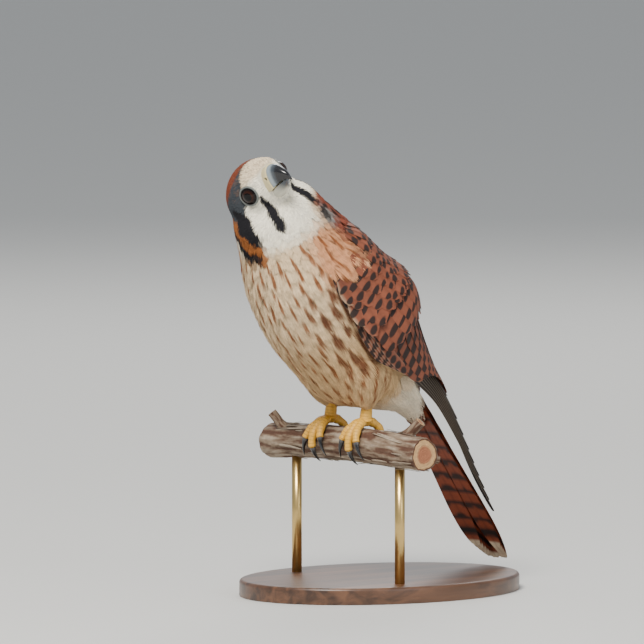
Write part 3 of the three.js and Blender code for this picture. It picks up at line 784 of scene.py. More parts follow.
bill = {"front": -15.4, "half": 6.4, "top": 5.6, "bottom": -10.6}  # the beak's place, in the head's frame
patch = 0.003  # a small feather's size on the bake's map
mapMargin = 0.03
billBase = (0, -20, -1)
flowSource = (0, -26, -1)  # the head's feathers point away from here


def lie(points, facing):
    # the way that feathers point, along the skin: back from the beak, then down the body and the thighs
    _, _, tangents = alongLine(bodyLine, bodyEnd, points)
    down = np.concatenate([np.zeros((len(points), 1)), tangents], 1)
    local = fromHead(points)
    back = unit(local - flowSource) @ headTurn.T
    reach = np.linalg.norm(local, axis=1)
    flow = mix(back, down, ease((reach - 16) / 15)[:, None])
    placed = thighLine(np.clip((thighTop - points[:, 2]) / thighLength, 0, 1))
    x, y, _, across, fore = np.moveaxis(placed, -1, 0)
    off = np.hypot((np.abs(points[:, 0]) - x) / across, (points[:, 1] - y) / fore)
    onThigh = ease((1.5 - off) / 0.4) * ease((34 - points[:, 2]) / 8)
    flow = mix(unit(flow), np.array([0, 0.12, -1.0]), onThigh[:, None])
    flow = flow + draws.normal(0, 0.07, flow.shape)
    return unit(flow - facing * (flow * facing).sum(-1, keepdims=True))


def bodyUnwrap(points):
    place, angle, _ = alongLine(bodyLine, bodyEnd, points)
    return np.stack([angle / 360 + 0.5, place / bodyEnd], 1)


def headUnwrap(points):
    x, y, z = unit(fromHead(points)).T
    turn = np.arctan2(x, -z) / (2 * math.pi) + 0.5
    return np.stack([turn, np.arccos(np.clip(-y, -1, 1)) / math.pi], 1)


def patchMap(places, q, t):
    # each small feather's own patch on the bake's map, about its root's place
    inside = mix(mapMargin, 1 - mapMargin, places)
    return inside[:, None] + patch * np.stack([q / 2, t - 0.5], -1)


def layVanes(surface, roots, facing, size, settings):
    # Small vanes that lie along the skin. size holds each one's length, width and lift, and the settings'
    # outline gives the half width along a vane, as a share.
    across, lengthwise = settings["grid"]
    length, width, lift = (size[k][:, None] for k in ("length", "width", "lift"))
    q, t = np.linspace(-1, 1, across + 1), np.linspace(0, 1, lengthwise + 1)
    line = roots[:, None] + lie(roots, facing)[:, None] * (length * t)[..., None]
    on, out = surface.nearest(line)
    out = unit(out + 0.6 * facing[:, None])
    middle = on + out * (lift * np.interp(t, [0, 0.3, 1], [-0.4, 0.35, 1]))[..., None]
    sideways = unit(np.cross(unit(np.gradient(middle, axis=1)), out))
    half = (width / 2) * np.interp(t, *settings["outline"])
    upper = middle[:, :, None] + sideways[:, :, None] * (half[..., None] * q)[..., None]
    upper = upper - out[:, :, None] * (0.28 * half[..., None] * q**2)[..., None]
    thick = np.clip(np.sin(math.pi * t), 0.15, 1) * 0.22
    lower = upper - out[:, :, None] * (thick[None, :, None] * (1 - q**2))[..., None]
    return upper, vaneRow(upper, lower, settings["grid"])


def layBlades(surface, roots, facing, flow, size, blades, t):
    # loose plumes: each is a fan of narrow blades that spread from one root and part at their tips
    n = len(roots)
    q = np.linspace(-1, 1, blades)[None] + draws.normal(0, 0.35 / blades, (n, blades))
    length = size["length"][:, None] * (1 - 0.2 * q**2) * draws.uniform(0.88, 1.08, (n, blades))
    offset = q[..., None] * (size["width"][:, None, None] / 2) * np.sin(t * math.pi / 2) ** 0.8
    sideways = np.cross(flow, facing)[:, None, None] * offset[..., None]
    line = roots[:, None, None] + flow[:, None, None] * (length[..., None] * t)[..., None] + sideways
    on, out = surface.nearest(line)
    out = unit(out + 0.5 * facing[:, None, None])
    rise = np.interp(t, [0, 0.4, 0.72, 1], [-0.25, 0.5, 0.88, 1])
    lift = size["lift"][:, None] * (1 - 0.3 * q**2) * draws.uniform(0.75, 1.15, (n, blades))
    middle = on + out * (lift[..., None] * rise)[..., None]
    across = unit(np.cross(unit(np.gradient(middle, axis=2)), out))
    half = (size["width"] / blades * 0.95)[:, None, None, None] * np.array([0.8, 1.1, 0.95, 0])[:, None]
    left, ridge, right = middle - across * half, middle + out * half * 0.45, middle + across * half
    rings = np.stack([left, ridge, right], 3)[:, :, :-1].reshape(n * blades, -1, 3)
    return np.concatenate([rings, middle[:, :, -1:].reshape(n * blades, 1, 3)], 1), q.ravel()


def bladeFaces(rings):
    # a blade is a tube of three sides, closed at its root and drawn to a point
    faces = [(0, 1, 2)]
    for a in range(0, 3 * (rings - 1), 3):
        for j, k in ((0, 1), (1, 2), (2, 0)):
            faces += [(a + j, a + 3 + j, a + 3 + k), (a + j, a + 3 + k, a + k)]
    a, tip = 3 * (rings - 1), 3 * rings
    return np.array(faces + [(a, tip, a + 1), (a + 1, tip, a + 2), (a + 2, tip, a)])


def bareFace(points):
    local = onLeft(fromHead(points))
    x, y, z = local.T
    atBill = (y < bill["front"]) & (x < bill["half"]) & (z < bill["top"]) & (z > bill["bottom"])
    return atBill | (np.linalg.norm(local - eyeFront, axis=1) < eye["bare"])


def addCoat(name, slot, material, row):
    # one piece of the coat, or several where the triangles are many
    n = len(row["points"])
    count = math.ceil(n * len(row["faces"]) / coat["mostTriangles"])
    for k, part in enumerate(np.array_split(np.arange(n), count)):
        some = row | {key: row[key][part] for key in ("points", "tones", "map", "spots") if key in row}
        featherPiece(name if count == 1 else f"{name}_{k + 1}", slot, material, [some])


def coatHead(surface, material):
    look = coat["head"]
    roots, facing = surface.scatter(
        look["density"],
        lambda p: np.full(len(p), look["spacing"]),
        lambda p: (headReach(p) < look["reach"]) & ~bareFace(p),
    )
    local = fromHead(roots)
    fine = np.clip(np.linalg.norm(local - billBase, axis=1) / 26, 0.32, 1)  # shorter near the bill
    size = {"length": look["length"] * fine, "width": look["width"] * fine**0.6}
    size["lift"] = mix(*look["lift"], fine)
    upper, row = layVanes(surface, roots, facing, size, look)
    middle = look["grid"][0] // 2
    flow = (upper[:, -1, middle] - upper[:, 0, middle]) * look["shownAt"]
    tones, _, _ = markings(roots + flow)
    direction = unit(local)
    brow = ease((0.1 - direction[:, 1]) / 0.3) * ease((direction[:, 2] - 0.1) / 0.3)
    streaks = look["browStreaks"]
    streak = (draws.random(len(roots)) < streaks["chance"]) * brow * streaks["strength"]
    tones = mix(tones, plumage["foreheadStreak"], streak[:, None])
    tones = tones * draws.normal(1, 0.07, (len(roots), 1))
    # painted shade: each feather is darker towards its root, where the feathers over it shade it, and a
    # little at its edges
    shade = mix(0.78, 1.04, ease(row["t"] * 1.4)) * (1 - 0.05 * row["q"] ** 2)
    row["tones"] = tones[:, None] * shade[:, None]
    row["map"] = patchMap(headUnwrap(roots), row["q"], row["t"])
    addCoat("coatHead", "head_feathers", material, row)


def backArea(points):
    place, angle = bodyPlace(points)
    return (angle < 66) & (place > 1.5)


def breastStreaks(surface):
    # drops that point up the body, long and narrow in front and broad on the flanks
    look = coat["streak"]
    roots, facing = surface.scatter(
        look["density"], lambda p: np.full(len(p), look["spacing"]), lambda p: markings(p)[1] > 0.3
    )
    place, angle = bodyPlace(roots)
    flank = ease((place - 1.7) / 0.8) * ease(1.6 - np.abs(angle - 116) / 24)
    flank = flank * (1 - ease((place - 4.2) / 0.6))
    flow = lie(roots, facing)
    return {
        "at": roots,
        "down": flow,
        "out": facing,
        "side": np.cross(flow, facing),
        "long": mix(*look["long"], flank) * draws.uniform(0.75, 1.25, len(roots)),
        "wide": mix(*look["wide"], flank) * draws.uniform(0.7, 1.2, len(roots)),
        "flank": flank,
    }


def streakAt(points, streaks, atOnce=8000):
    # how strongly each point is streaked, and how much of a flank's blotch that streak is
    strength, flank = np.zeros(len(points)), np.zeros(len(points))
    for start in range(0, len(points), atOnce):
        some = points[start : start + atOnce]
        axes = (streaks[k] for k in ("down", "side", "out"))
        down, aside, out = (some @ axis.T - (streaks["at"] * axis).sum(1) for axis in axes)
        down = down / streaks["long"]
        aside = aside / (streaks["wide"] * np.clip(0.85 + 0.4 * down, 0.3, 1.2))
        mask = ease(1.7 - 1.2 * (down**2 + aside**2)) * (np.abs(out) < 8)
        best = mask.argmax(1)
        strength[start : start + atOnce] = mask[np.arange(len(some)), best]
        flank[start : start + atOnce] = streaks["flank"][best]
    return strength, flank


def wantsPlume(points):
    onScales = backArea(points) & (bodyPlace(points)[1] < coat["plume"]["scalesWithin"])
    return (headReach(points) > coat["head"]["reach"] - 2) & ~inWing(points) & ~onScales


def coatPlumes(surface, material):
    look = coat["plume"]
    steps, blades = look["steps"], look["blades"]
    roots, facing = surface.scatter(look["density"], lambda p: plumeSize(headReach(p))[:, 0], wantsPlume)
    _, length, width, lift = plumeSize(headReach(roots)).T
    vent = ease(bodyPlace(roots)[0] - 6.2)  # longer and narrower under the tail
    size = {"length": length * (1 + 0.25 * vent), "width": width * (1 - 0.25 * vent), "lift": lift}
    flow = lie(roots, facing)
    tones, streaked, barred = markings(roots + flow * (look["shownAt"] * size["length"])[:, None])
    points, q = layBlades(surface, roots, facing, flow, size, blades, steps)
    t = np.append(np.repeat(steps[:-1], 3), 1)[None] + 0 * q[:, None]
    which = np.repeat(np.arange(len(roots)), blades)
    bars = barred * (draws.random(len(roots)) < look["bars"]["chance"]) * look["bars"]["strength"]
    tones = mix(tones, plumage["mantleBar"], bars[:, None])
    strength, flank = streakAt(points.reshape(-1, 3), breastStreaks(surface))
    strength = strength.reshape(t.shape) * ease(streaked[which] * 1.6)[:, None]
    strength = strength * draws.uniform(0.8, 1, len(q))[:, None]
    dark = mix(plumage["streak"], plumage["blotch"], flank.reshape(t.shape)[..., None])
    base = (tones * draws.normal(1, 0.05, (len(roots), 1)))[which]
    coloured = mix(base[:, None], dark, strength[..., None])
    # painted shade: each blade is darker towards its root, deep in the coat, times a random tone for each
    # blade
    shade = mix(0.72, 1.03, ease(t * 1.3)) * draws.normal(1, 0.05, len(q))[:, None]
    row = {
        "points": points,
        "faces": bladeFaces(len(steps) - 1),
        "rim": np.array([True, False, True] * (len(steps) - 1) + [True]),
        "tones": coloured * shade[..., None],
        "map": patchMap(bodyUnwrap(roots)[which], q[:, None] + 0 * t, t),
    }
    addCoat("coatBody", "body_feathers", material, row)


def grownAt(place):
    # the back's scales are small by the neck
    return 0.5 + 0.5 * ease((place - 0.8) / 1.2)


def coatScales(surface, material):
    look = coat["scale"]
    roots, facing = surface.scatter(
        look["density"],
        lambda p: look["spacing"] * grownAt(bodyPlace(p)[0]),
        lambda p: backArea(p) & ~inWing(p, 0.1),
    )
    grown = grownAt(bodyPlace(roots)[0])
    size = {key: value * grown for key, value in look["size"].items()}
    _, row = layVanes(surface, roots, facing, size, look)
    tones, _, barred = markings(roots)
    jitter = draws.normal(0, 1, (len(roots), 4))
    fromTip = size["length"][:, None] * (1 - row["t"])[None]
    row["spots"] = spotPlaces(row["q"], fromTip, look["spots"], jitter)
    row["spots"][..., 0] += noSpot * (draws.random(len(roots)) > barred)[:, None]
    tones = tones * (1 + 0.06 * jitter[:, :1])
    # painted shade: each scale is darker towards its root, where the row above covers it
    row["tones"] = tones[:, None] * mix(0.75, 1.03, ease(row["t"] * 1.3))[:, None]
    row["map"] = patchMap(bodyUnwrap(roots), row["q"], row["t"])
    addCoat("coatBack", "body_feathers", material, row)


# Wings and tail: long vanes in tiers

primaryDepth = stations([(66, 3.6), (98, 3.1), (118, 1), (140, -0.6), (182, -3)])
flightTips = np.array([86, 103, 116, 114, 110, 106, 102, 98, 95, 92])
wingSpots = {
    # first spot's distance from the tip, spacing, half width as a share of the feather's, half height, slant
    "lesser": (2.6, 5.8, 0.86, 1.3, 0.5),
    "median": (2.7, 6.2, 0.9, 1.35, 0.5),
    "greater": (2.9, 6.6, 0.95, 1.4, 0.7),
    "inner": (3.8, 7, 1.1, 1.55, 1.0),
    "hand": (5, 5.5, 0.9, 1.9, 0.5),
    "alula": (5, 6, 0.9, 2.2, 0.5),
}
shownSide = 0.36  # the middle of the part of a wing feather that its neighbours leave free
noSpot = 9  # so far across a vane that no spot reaches it
lesser = {"first": 2.5, "last": 35, "step": 4.7, "lanes": 11, "stagger": 0.09, "uneven": 0.6}


def featherOutline(t, rootShare=0.4, tipFrom=0.78, tipShare=0.1):
    root = mix(rootShare, 1, ease(t / 0.4))
    tip = np.sqrt(np.clip(1 - (np.clip(t - tipFrom, 0, 1) / (1 - tipFrom)) ** 2, 0, 1))
    return root * mix(tipShare, 1, tip)


def vaneThickness(t, q):
    return np.clip(np.sin(math.pi * t) * 2, 0.3, 1)[:, None] * (1 - q**2)


def vaneDown(t):
    return 1 - (1 - t) ** 1.3


def stretch(count, first, last, power=1.0):
    return mix(first, last, np.linspace(0, 1, count) ** power)


def makeTier(name, start, ends, lanes, width, **settings):
    # Feathers from start to their ends along the wing, in lanes from its upper edge (0) to its lower (1).
    # depth is under the wing's form, with a step from feather to feather, tilt is how far a feather's side
    # goes under its neighbour, sink how deep its root is, and outline the root's share and the tip's start.
    usual = {"tipLanes": lanes, "step": 0, "thick": 0.3, "camber": 0.35, "fray": 0.15}
    placed = {"name": name, "from": start, "to": ends, "lanes": lanes, "width": width}
    return usual | placed | settings


def lesserTiers():
    tiers = []
    for k, start in enumerate(np.arange(lesser["first"], lesser["last"], lesser["step"])):
        count = lesser["lanes"]
        lanes = np.linspace(0.04, 0.93, count) + (0.5 * (k % 2) - 0.25) * lesser["stagger"]
        starts = start + draws.normal(0, lesser["uneven"], count)
        lengths = 12.5 + 0.1 * start + draws.normal(0, lesser["uneven"], count)
        shown = starts > shoulderStart(lanes, 0, 12)
        sink = 1.4 + 1.5 * max(0, 2 - k)  # the first rows start under the mantle
        look = {"depth": -0.4, "tilt": 0.35, "sink": sink, "thick": 0.2, "camber": 0.15, "fray": 0.45}
        look |= {"grid": (4, 6), "outline": (0.5, 0.5)}
        tiers.append(makeTier("lesser", starts[shown], (starts + lengths)[shown], lanes[shown], 8.8, **look))
    return [tier for tier in tiers if len(tier["to"])]


def wingTiers():
    return lesserTiers() + [
        makeTier(
            "median", 26, stretch(12, 52, 45), stretch(12, 0.06, 0.86), 9.5, depth=-0.1, tilt=0.5,
            sink=2.1, camber=0.2, fray=0.5, grid=(10, 20), outline=(0.5, 0.55),
        ),
        makeTier(
            "greater", 38, stretch(11, 70, 61), stretch(11, 0.07, 0.85), 9.8, depth=0.15, tilt=0.7,
            sink=3, camber=0.25, fray=0.5, grid=(10, 26), outline=(0.5, 0.62),
        ),
        makeTier(
            "inner", 52, flightTips, stretch(10, 0.09, 0.82), 10.5, depth=0.5, tilt=1.7, sink=4.2,
            grid=(8, 36), outline=(0.5, 0.76),
        ),
        makeTier(
            "primary", 68, stretch(9, 116, 182, 0.8), stretch(9, 0.42, 0.88), 9.2, depth=0, step=0.5,
            tilt=0.4, sink=0, grid=(8, 40), outline=(0.4, 0.74), tipLanes=stretch(9, 0.42, 0.56),
            curve=primaryDepth,
        ),
        makeTier(  # the primaries' coverts
            "hand", 34, stretch(5, 82, 64), stretch(5, 0.9, 0.98), 5.5, depth=1.0, step=0.45, tilt=0.5,
            sink=1.8, grid=(6, 24), outline=(0.5, 0.7),
        ),
        makeTier(
            "alula", 14, stretch(3, 48, 32), stretch(3, 0.93, 0.985), 5.2, depth=0.2, step=0.5, tilt=0.4,
            sink=2, grid=(6, 18), outline=(0.5, 0.7),
        ),
    ]


def tierVanes(side, tier):
    # the vanes of one tier, tilted so that each lies over the next, with their roots sunk
    n = len(tier["to"])
    across, lengthwise = tier["grid"]
    q, t = np.linspace(-1, 1, across + 1), np.linspace(0, 1, lengthwise + 1)
    down = vaneDown(t)
    keys = ("from", "to", "lanes", "tipLanes")
    columns = [np.broadcast_to(np.asarray(tier[key], float), n)[:, None] for key in keys]
    start, end, lanes, tipLanes = columns
    along = mix(start, end, down)
    _, _, half, back = np.moveaxis(wingLine(along), -1, 0)
    low, high = np.moveaxis(wingEdge(along), -1, 0)
    width = tier["width"] * featherOutline(down, *tier["outline"])
    turn = np.degrees(q / 2 * (width / ((half + back) / 2))[..., None])
    angle = mix(high, low, mix(lanes, tipLanes, down))[..., None] + turn
    depth = tier["depth"] + tier["step"] * np.arange(n)[:, None] + 0 * along
    if "curve" in tier:
        depth = depth + tier["curve"](along)[..., 0]
    depth = depth[..., None] + tier["tilt"] * (1 - q) / 2
    depth = depth + tier["sink"] * (1 - down)[:, None] ** 2 + tier["camber"] * q**2
    fray = draws.uniform(-1, 0.6, (n, 1, len(q))) * ease((down - 0.7) / 0.3)[:, None] * tier["fray"]
    along = along[..., None] + fray
    lower = depth + tier["thick"] * vaneThickness(t, q)
    return [wingPoint(side, along, angle, surface) for surface in (depth, lower)]


def spotPlaces(q, fromTip, spots, jitter, middle=0.0):
    # each point against its feather's spots: across, along in spacings, and the spacing over the half height
    first, spacing, wide, tall, lean = spots
    across = (q[None] - middle + 0.12 * jitter[:, 1:2]) / (wide * (1 + 0.1 * jitter[:, 0:1]))
    along = (fromTip - first + lean * q[None] + 0.4 * jitter[:, 2:3]) / spacing
    height = spacing / (tall * (1 + 0.14 * np.clip(jitter[:, 3:4], -2, 2))) + 0 * along
    return np.stack([across, along, height], -1)


def wingTones(tier, q, t):
    # rufous, with dark primaries and pale edges, and the places for the spots
    kind, n = tier["name"], len(tier["to"])
    length = np.asarray(tier["to"], float) - np.asarray(tier["from"], float)
    jitter = draws.normal(0, 1, (n, 4))
    fromTip = length[:, None] * (1 - vaneDown(t))[None]
    pale, paleTone = np.zeros((1, len(q))), "wingEdge"
    if kind in ("primary", "hand", "alula"):
        pale = ease((np.abs(q) - 0.8) / 0.2)[None] * np.where(q > 0, 0.5, 0.2)[None]
        paleTone = "primaryEdge"
    elif kind == "inner":
        pale = 0.4 * ease((np.abs(q) - 0.75) / 0.25)[None] * ease((4 - fromTip) / 3)
    elif kind == "lesser":
        pale = 0.7 * ease((tier["lanes"][:, None] - 0.9) / 0.03) * ease((q[None] - 0.6) / 0.4)
    if kind == "primary":
        base = np.repeat(plumage["primary"][None], n, 0)
        spots = np.full((n, len(q), 3), float(noSpot))
    else:
        base = plumage["wing"] * (1 + 0.07 * jitter[:, :1])
        spots = spotPlaces(q, fromTip, wingSpots[kind], jitter, shownSide)
    tones = mix(base[:, None], plumage[paleTone], pale[..., None])
    # darker along the shaft, and darker towards the root as painted shade, where the feathers over it cover
    # it
    shade = (1 - 0.2 * bell(q, 0.07)) * mix(0.7, 1, ease(t * 1.5))
    return tones * shade[:, None], spots


def mapCells(rows, columns):
    # each vane has a cell of the bake's map to itself, since spots and bars run along it
    total = sum(len(row["points"]) for row in rows)
    high = math.ceil(total / columns)
    done = 0
    for row in rows:
        cell = done + np.arange(len(row["points"]))[:, None]
        u = (cell % columns + 0.5 + 0.42 * row["q"][None]) / columns
        v = (cell // columns + 0.04 + 0.92 * row["t"][None]) / high
        row["map"] = np.stack([u, v], -1)
        done += len(row["points"])


def makeWing(name, material):
    groups = {"coverts": [], "flight": []}
    for tier in wingTiers():
        row = vaneRow(*tierVanes(sides[name], tier), tier["grid"])
        row["tones"], row["spots"] = wingTones(tier, row["q"], row["t"])
        isCovert = tier["name"] in ("lesser", "median", "greater")
        groups["coverts" if isCovert else "flight"].append(row)
    for group, columns in (("coverts", 10), ("flight", 27)):
        mapCells(groups[group], columns)
        featherPiece(f"wing_{name}_{group}", "wing_feathers", material, groups[group], f"wing_{name}")


tailSlope = math.radians(56)  # below level
tail = {
    "root": np.array([0, 26.6, 34.3]),
    "down": np.array([0, math.cos(tailSlope), -math.sin(tailSlope)]),
    "up": np.array([0, math.sin(tailSlope), math.cos(tailSlope)]),
    "from": -5,
    "length": 125,
    "pairs": 6,
    "layer": 0.62,  # from one pair down to the next
    "grid": (8, 60),
    "barStep": 8.6,
    "lastBar": 9,  # from the tip
}
tailWidth = stations([(-10, 5), (0, 6.5), (50, 9.5), (105, 14.5), (125, 14.5)])


def tailPoint(along, side, rise):
    along, side, rise = (np.asarray(v)[..., None] for v in (along, side, rise))
    return tail["root"] + along * tail["down"] + rise * tail["up"] + side * np.array([1.0, 0, 0])


def tailTones(end, q, t):
    # rufous with narrow bars, a broader last one and a pale tip
    along = mix(tail["from"], end, 1 - (1 - t) ** 1.15)
    fromLast = end - tail["lastBar"] - along
    phase = fromLast / tail["barStep"] + 0.12 * np.abs(q) + draws.normal(0, 0.06)
    bars = ease((np.cos(2 * math.pi * phase) - 0.35) / 0.3) * ease((along - 18) / 8)
    last = ease(1.3 - np.abs(fromLast) / 3)
    base = plumage["tail"] * draws.normal(1, 0.04)
    tones = mix(base[None], plumage["tailBar"], np.maximum(bars * 0.92, last)[:, None])
    tones = mix(tones, plumage["tailTip"], ease((along - end + 4) / 1.2)[:, None])
    return tones * (1 - 0.22 * bell(q, 0.08))[:, None]


def makeTail(material):
    across, lengthwise = tail["grid"]
    q, t = np.linspace(-1, 1, across + 1), np.linspace(0, 1, lengthwise + 1)
    down = 1 - (1 - t) ** 1.15
    flatQ, flatT = lensPlaces(across, lengthwise)
    uppers, lowers, tones = [], [], []
    feathers = [(side, pair) for side in sides.values() for pair in range(tail["pairs"])]
    for side, pair in feathers:
        end = tail["length"] - 1.1 * pair**1.35
        along = mix(tail["from"], end, down)
        half = tailWidth(along)[:, 0]
        inner = -0.35 * half if pair == 0 else 0.3 + 0 * half
        outer = half * mix(0.7, 1, pair / 5)
        tip = featherOutline(mix(0.4, 1, down), 0.4, 0.86, 0.2)
        out = mix(inner, outer, 0.5)[:, None] + q * ((outer - inner) / 2 * tip)[:, None]
        layer = 0 if pair == 0 and side > 0 else pair + 1
        rise = -0.35 * (out / half[:, None]) ** 2 - layer * tail["layer"] + 0.25 * (1 - q**2)
        along = along[:, None] + 0 * out
        uppers.append(tailPoint(along, side * out, rise))
        lowers.append(tailPoint(along, side * out, rise - 0.3 * vaneThickness(t, q)))
        tones.append(tailTones(end, flatQ, flatT))
    row = vaneRow(np.array(uppers), np.array(lowers), tail["grid"])
    row["tones"] = np.array(tones)
    cells = (np.arange(len(feathers))[:, None] + 0.5 + 0.42 * flatQ) / len(feathers)
    row["map"] = np.stack([cells, 0.02 + 0.96 * flatT + 0 * cells], -1)
    featherPiece("tail_vanes", "tail_feathers", material, [row], "tail")


# Eyes, beak and feet


def addRings(bm, rings, tones=None):
    # a ball whose rings of vertices go to rings (n, around, 3), its poles to the middles of the end rings
    n, around = rings.shape[:2]
    if tones is not None:
        layer = bm.verts.layers.float_color.get("tone") or bm.verts.layers.float_color.new("tone")
        tones = np.broadcast_to(tones, (n, around, 3))
    made = bmesh.ops.create_uvsphere(bm, u_segments=around, v_segments=n + 1, radius=1)["verts"]
    ball = np.array([v.co for v in made])
    ring = np.rint(np.arccos(np.clip(ball[:, 2], -1, 1)) / math.pi * (n + 1)).astype(int) - 1
    turn = np.rint(np.arctan2(ball[:, 1], ball[:, 0]) / (2 * math.pi) * around).astype(int) % around
    poles = ((ring < 0) | (ring == n))[:, None]
    ring = np.clip(ring, 0, n - 1)
    for vertex, place in zip(made, toFrame(np.where(poles, rings.mean(1)[ring], rings[ring, turn]))):
        vertex.co = place
    if tones is not None:
        for vertex, colour in zip(made, np.where(poles, tones.mean(1)[ring], tones[ring, turn])):
            vertex[layer] = (*colour, 1)


def tubeRings(line, radii, around, hint):
    # rings round a line of points, with a radius for each point and angle. Angle 0 is across line and hint.
    line = np.asarray(line, float)
    along = unit(np.gradient(line, axis=0))
    upward = unit(np.cross(along, np.asarray(hint, float)))
    sideways = np.cross(upward, along)
    turn = np.linspace(0, 2 * math.pi, around, endpoint=False)[None, :, None]
    spokes = upward[:, None] * np.cos(turn) + sideways[:, None] * np.sin(turn)
    return line[:, None] + np.broadcast_to(radii, (len(line), around))[..., None] * spokes


def placeInHead(bm, centre):
    places = toFrame(inHead(centre + np.array([v.co for v in bm.verts])))
    for vertex, place in zip(bm.verts, places):
        vertex.co = place


def makeEye(name, ballMaterial, lidMaterial):
    mirror = [sides[name], 1, 1]
    turn = Vector((0, 0, 1)).rotation_difference(Vector(eyeAxis * mirror)).to_matrix()
    centre = eyeCentre * mirror
    bm = bmesh.new()
    bmesh.ops.create_uvsphere(bm, u_segments=64, v_segments=64, radius=eye["radius"])
    layer = bm.verts.layers.float.new("gaze")
    for vertex in bm.verts:
        gaze = vertex.co.angle(Vector((0, 0, 1)))
        vertex[layer] = gaze
        vertex.co = turn @ vertex.co * (1 + eye["cornea"] * ease((eye["corneaFrom"] - gaze) / 0.5))
    placeInHead(bm, centre)
    closedPiece(f"eye_{name}_ball", bm, "eye", ballMaterial, f"eye_{name}")

    # the lids' rim, with a row of small beads
    bm = bmesh.new()
    thick = eye["lid"]
    reach = eye["opening"] + 0.7 * thick
    edge = bmesh.ops.create_circle(bm, segments=20, radius=thick)["verts"]
    bmesh.ops.rotate(bm, verts=edge, matrix=Matrix.Rotation(math.pi / 2, 3, "X"))
    bmesh.ops.translate(bm, verts=edge, vec=(reach, 0, 0))
    wholeTurn = {"axis": (0, 0, 1), "cent": (0, 0, 0), "angle": 2 * math.pi, "steps": 96}
    bmesh.ops.spin(bm, geom=bm.verts[:] + bm.edges[:], use_merge=True, **wholeTurn)
    layer = bm.verts.layers.float_color.new("tone")
    lift = Vector((0, 0, math.sqrt(eye["radius"] ** 2 - eye["opening"] ** 2) - 0.1))
    for vertex in bm.verts:
        out = vertex.co.xy.length - reach
        bead = math.cos(eye["beads"] * math.atan2(vertex.co.y, vertex.co.x))
        rise = 0.06 * bead * ease(2 * (out + vertex.co.z) / thick - 0.6)
        vertex.co += vertex.co.normalized() * rise * thick
        vertex[layer] = (*mix(plumage["lid"], plumage["lidRim"], ease((-out / thick - 0.1) / 0.5)), 1)
        vertex.co = turn @ (vertex.co + lift)
    placeInHead(bm, centre)
    closedPiece(f"lids_{name}", bm, "head_feathers", lidMaterial)


upperBeak = stations([
    # place, ridge y, ridge z, edge y, edge z, half width
    (0, -16.5, 5, -14.5, -4.9, 6),
    (0.25, -20.6, 4.3, -18.6, -5.1, 5.3),
    (0.5, -24.6, 2.4, -21.9, -5.3, 4.1),
    (0.72, -27.5, -1.4, -24.6, -5.6, 2.8),
    (0.88, -28.8, -5.2, -26.7, -6.5, 1.5),
    (1, -28.4, -8.8, -28.1, -8.9, 0.25),
])
lowerBeak = stations([
    # place, keel y, keel z, edge y, edge z, half width
    (0, -12, -10.4, -12, -5.5, 5.2),
    (0.5, -18.6, -9.6, -18.6, -5.7, 3.9),
    (1, -24.2, -7.4, -24.2, -6.3, 1.2),
])
beak = {"cereEnd": 0.25, "cerePuff": 0.35, "hornFrom": 0.25 + 0.3 / 14, "sole": 0.08, "tooth": 0.5}
nostril = {"at": np.array([4.9, -18.6, 0.2]), "radius": 1.0, "depth": 1.3, "knob": 0.34}


def beakRings(table, places, around, grow=0.0):
    # rings of one half of the beak, in the head's frame, from its ridge or keel to the line of the mouth
    ridgeY, ridgeZ, edgeY, edgeZ, side = (v[:, None] for v in table(places).T)
    height = np.hypot(ridgeY - edgeY, ridgeZ - edgeZ)
    turn = np.linspace(0, 2 * math.pi, around, endpoint=False)[None]
    grow = np.broadcast_to(grow, places.shape)[:, None]
    rise = np.cos(turn) * (np.where(np.cos(turn) > 0, height, beak["sole"]) + grow) / height
    across = np.sign(np.sin(turn)) * np.abs(np.sin(turn)) ** 0.85 * (side + grow)
    return np.stack([across, edgeY + (ridgeY - edgeY) * rise, edgeZ + (ridgeZ - edgeZ) * rise], -1), turn


def headRings(name, rings, tones, slot, material, replaced):
    bm = bmesh.new()
    addRings(bm, inHead(rings), tones)
    closedPiece(name, bm, slot, material, replaced)


def makeBeak(hornMaterial, cereMaterial):
    places = mix(beak["hornFrom"], 1, np.linspace(0, 1, 64))
    rings, turn = beakRings(upperBeak, places, 64)
    atTooth = bell(places - 0.8, 0.045)[:, None] * ease((np.abs(np.sin(turn)) - 0.75) / 0.25)
    rings[..., 2] -= beak["tooth"] * atTooth
    dark = ease((places - 0.34) / 0.34)[:, None, None]
    horn = mix(plumage["hornBase"], plumage["horn"], ease(dark * 2))
    horn = mix(horn, plumage["hornTip"], ease(dark * 2 - 1))
    headRings("beak_upper_horn", rings, horn, "beak", hornMaterial, "beak_upper")

    places = np.linspace(0, 1, 40)
    rings, _ = beakRings(lowerBeak, places, 48)
    horn = mix(plumage["hornUnder"], plumage["horn"], ease((places - 0.3) / 0.6)[:, None, None])
    headRings("beak_lower_horn", rings, horn, "beak", hornMaterial, "beak_lower")

    # the cere, with a pit and a knob for each nostril
    t = np.linspace(0, 1, 56)
    lip = np.sqrt(np.clip(1 - (np.clip(t - 0.86, 0, 1) / 0.14) ** 2, 0, 1))
    rings, _ = beakRings(upperBeak, beak["cereEnd"] * t, 160, beak["cerePuff"] * lip + 0.02)
    pit = np.zeros(rings.shape[:2])
    for side in sides.values():
        away = np.linalg.norm(rings - nostril["at"] * [side, 1, 1], axis=-1)
        hole = ease((nostril["radius"] - away) / 0.35) * (1 - 0.75 * ease((nostril["knob"] - away) / 0.2))
        rim = bell(away - nostril["radius"] - 0.15, 0.22)
        rings[..., 0] += side * (0.16 * rim - nostril["depth"] * hole)
        pit = np.maximum(pit, hole)
    # painted shade: the nostrils' pits are painted dark, for the shadow inside their openings
    skinTone = mix(plumage["cere"], plumage["nostril"], pit[..., None])
    headRings("cere_skin", rings, skinTone, "cere", cereMaterial, "cere")


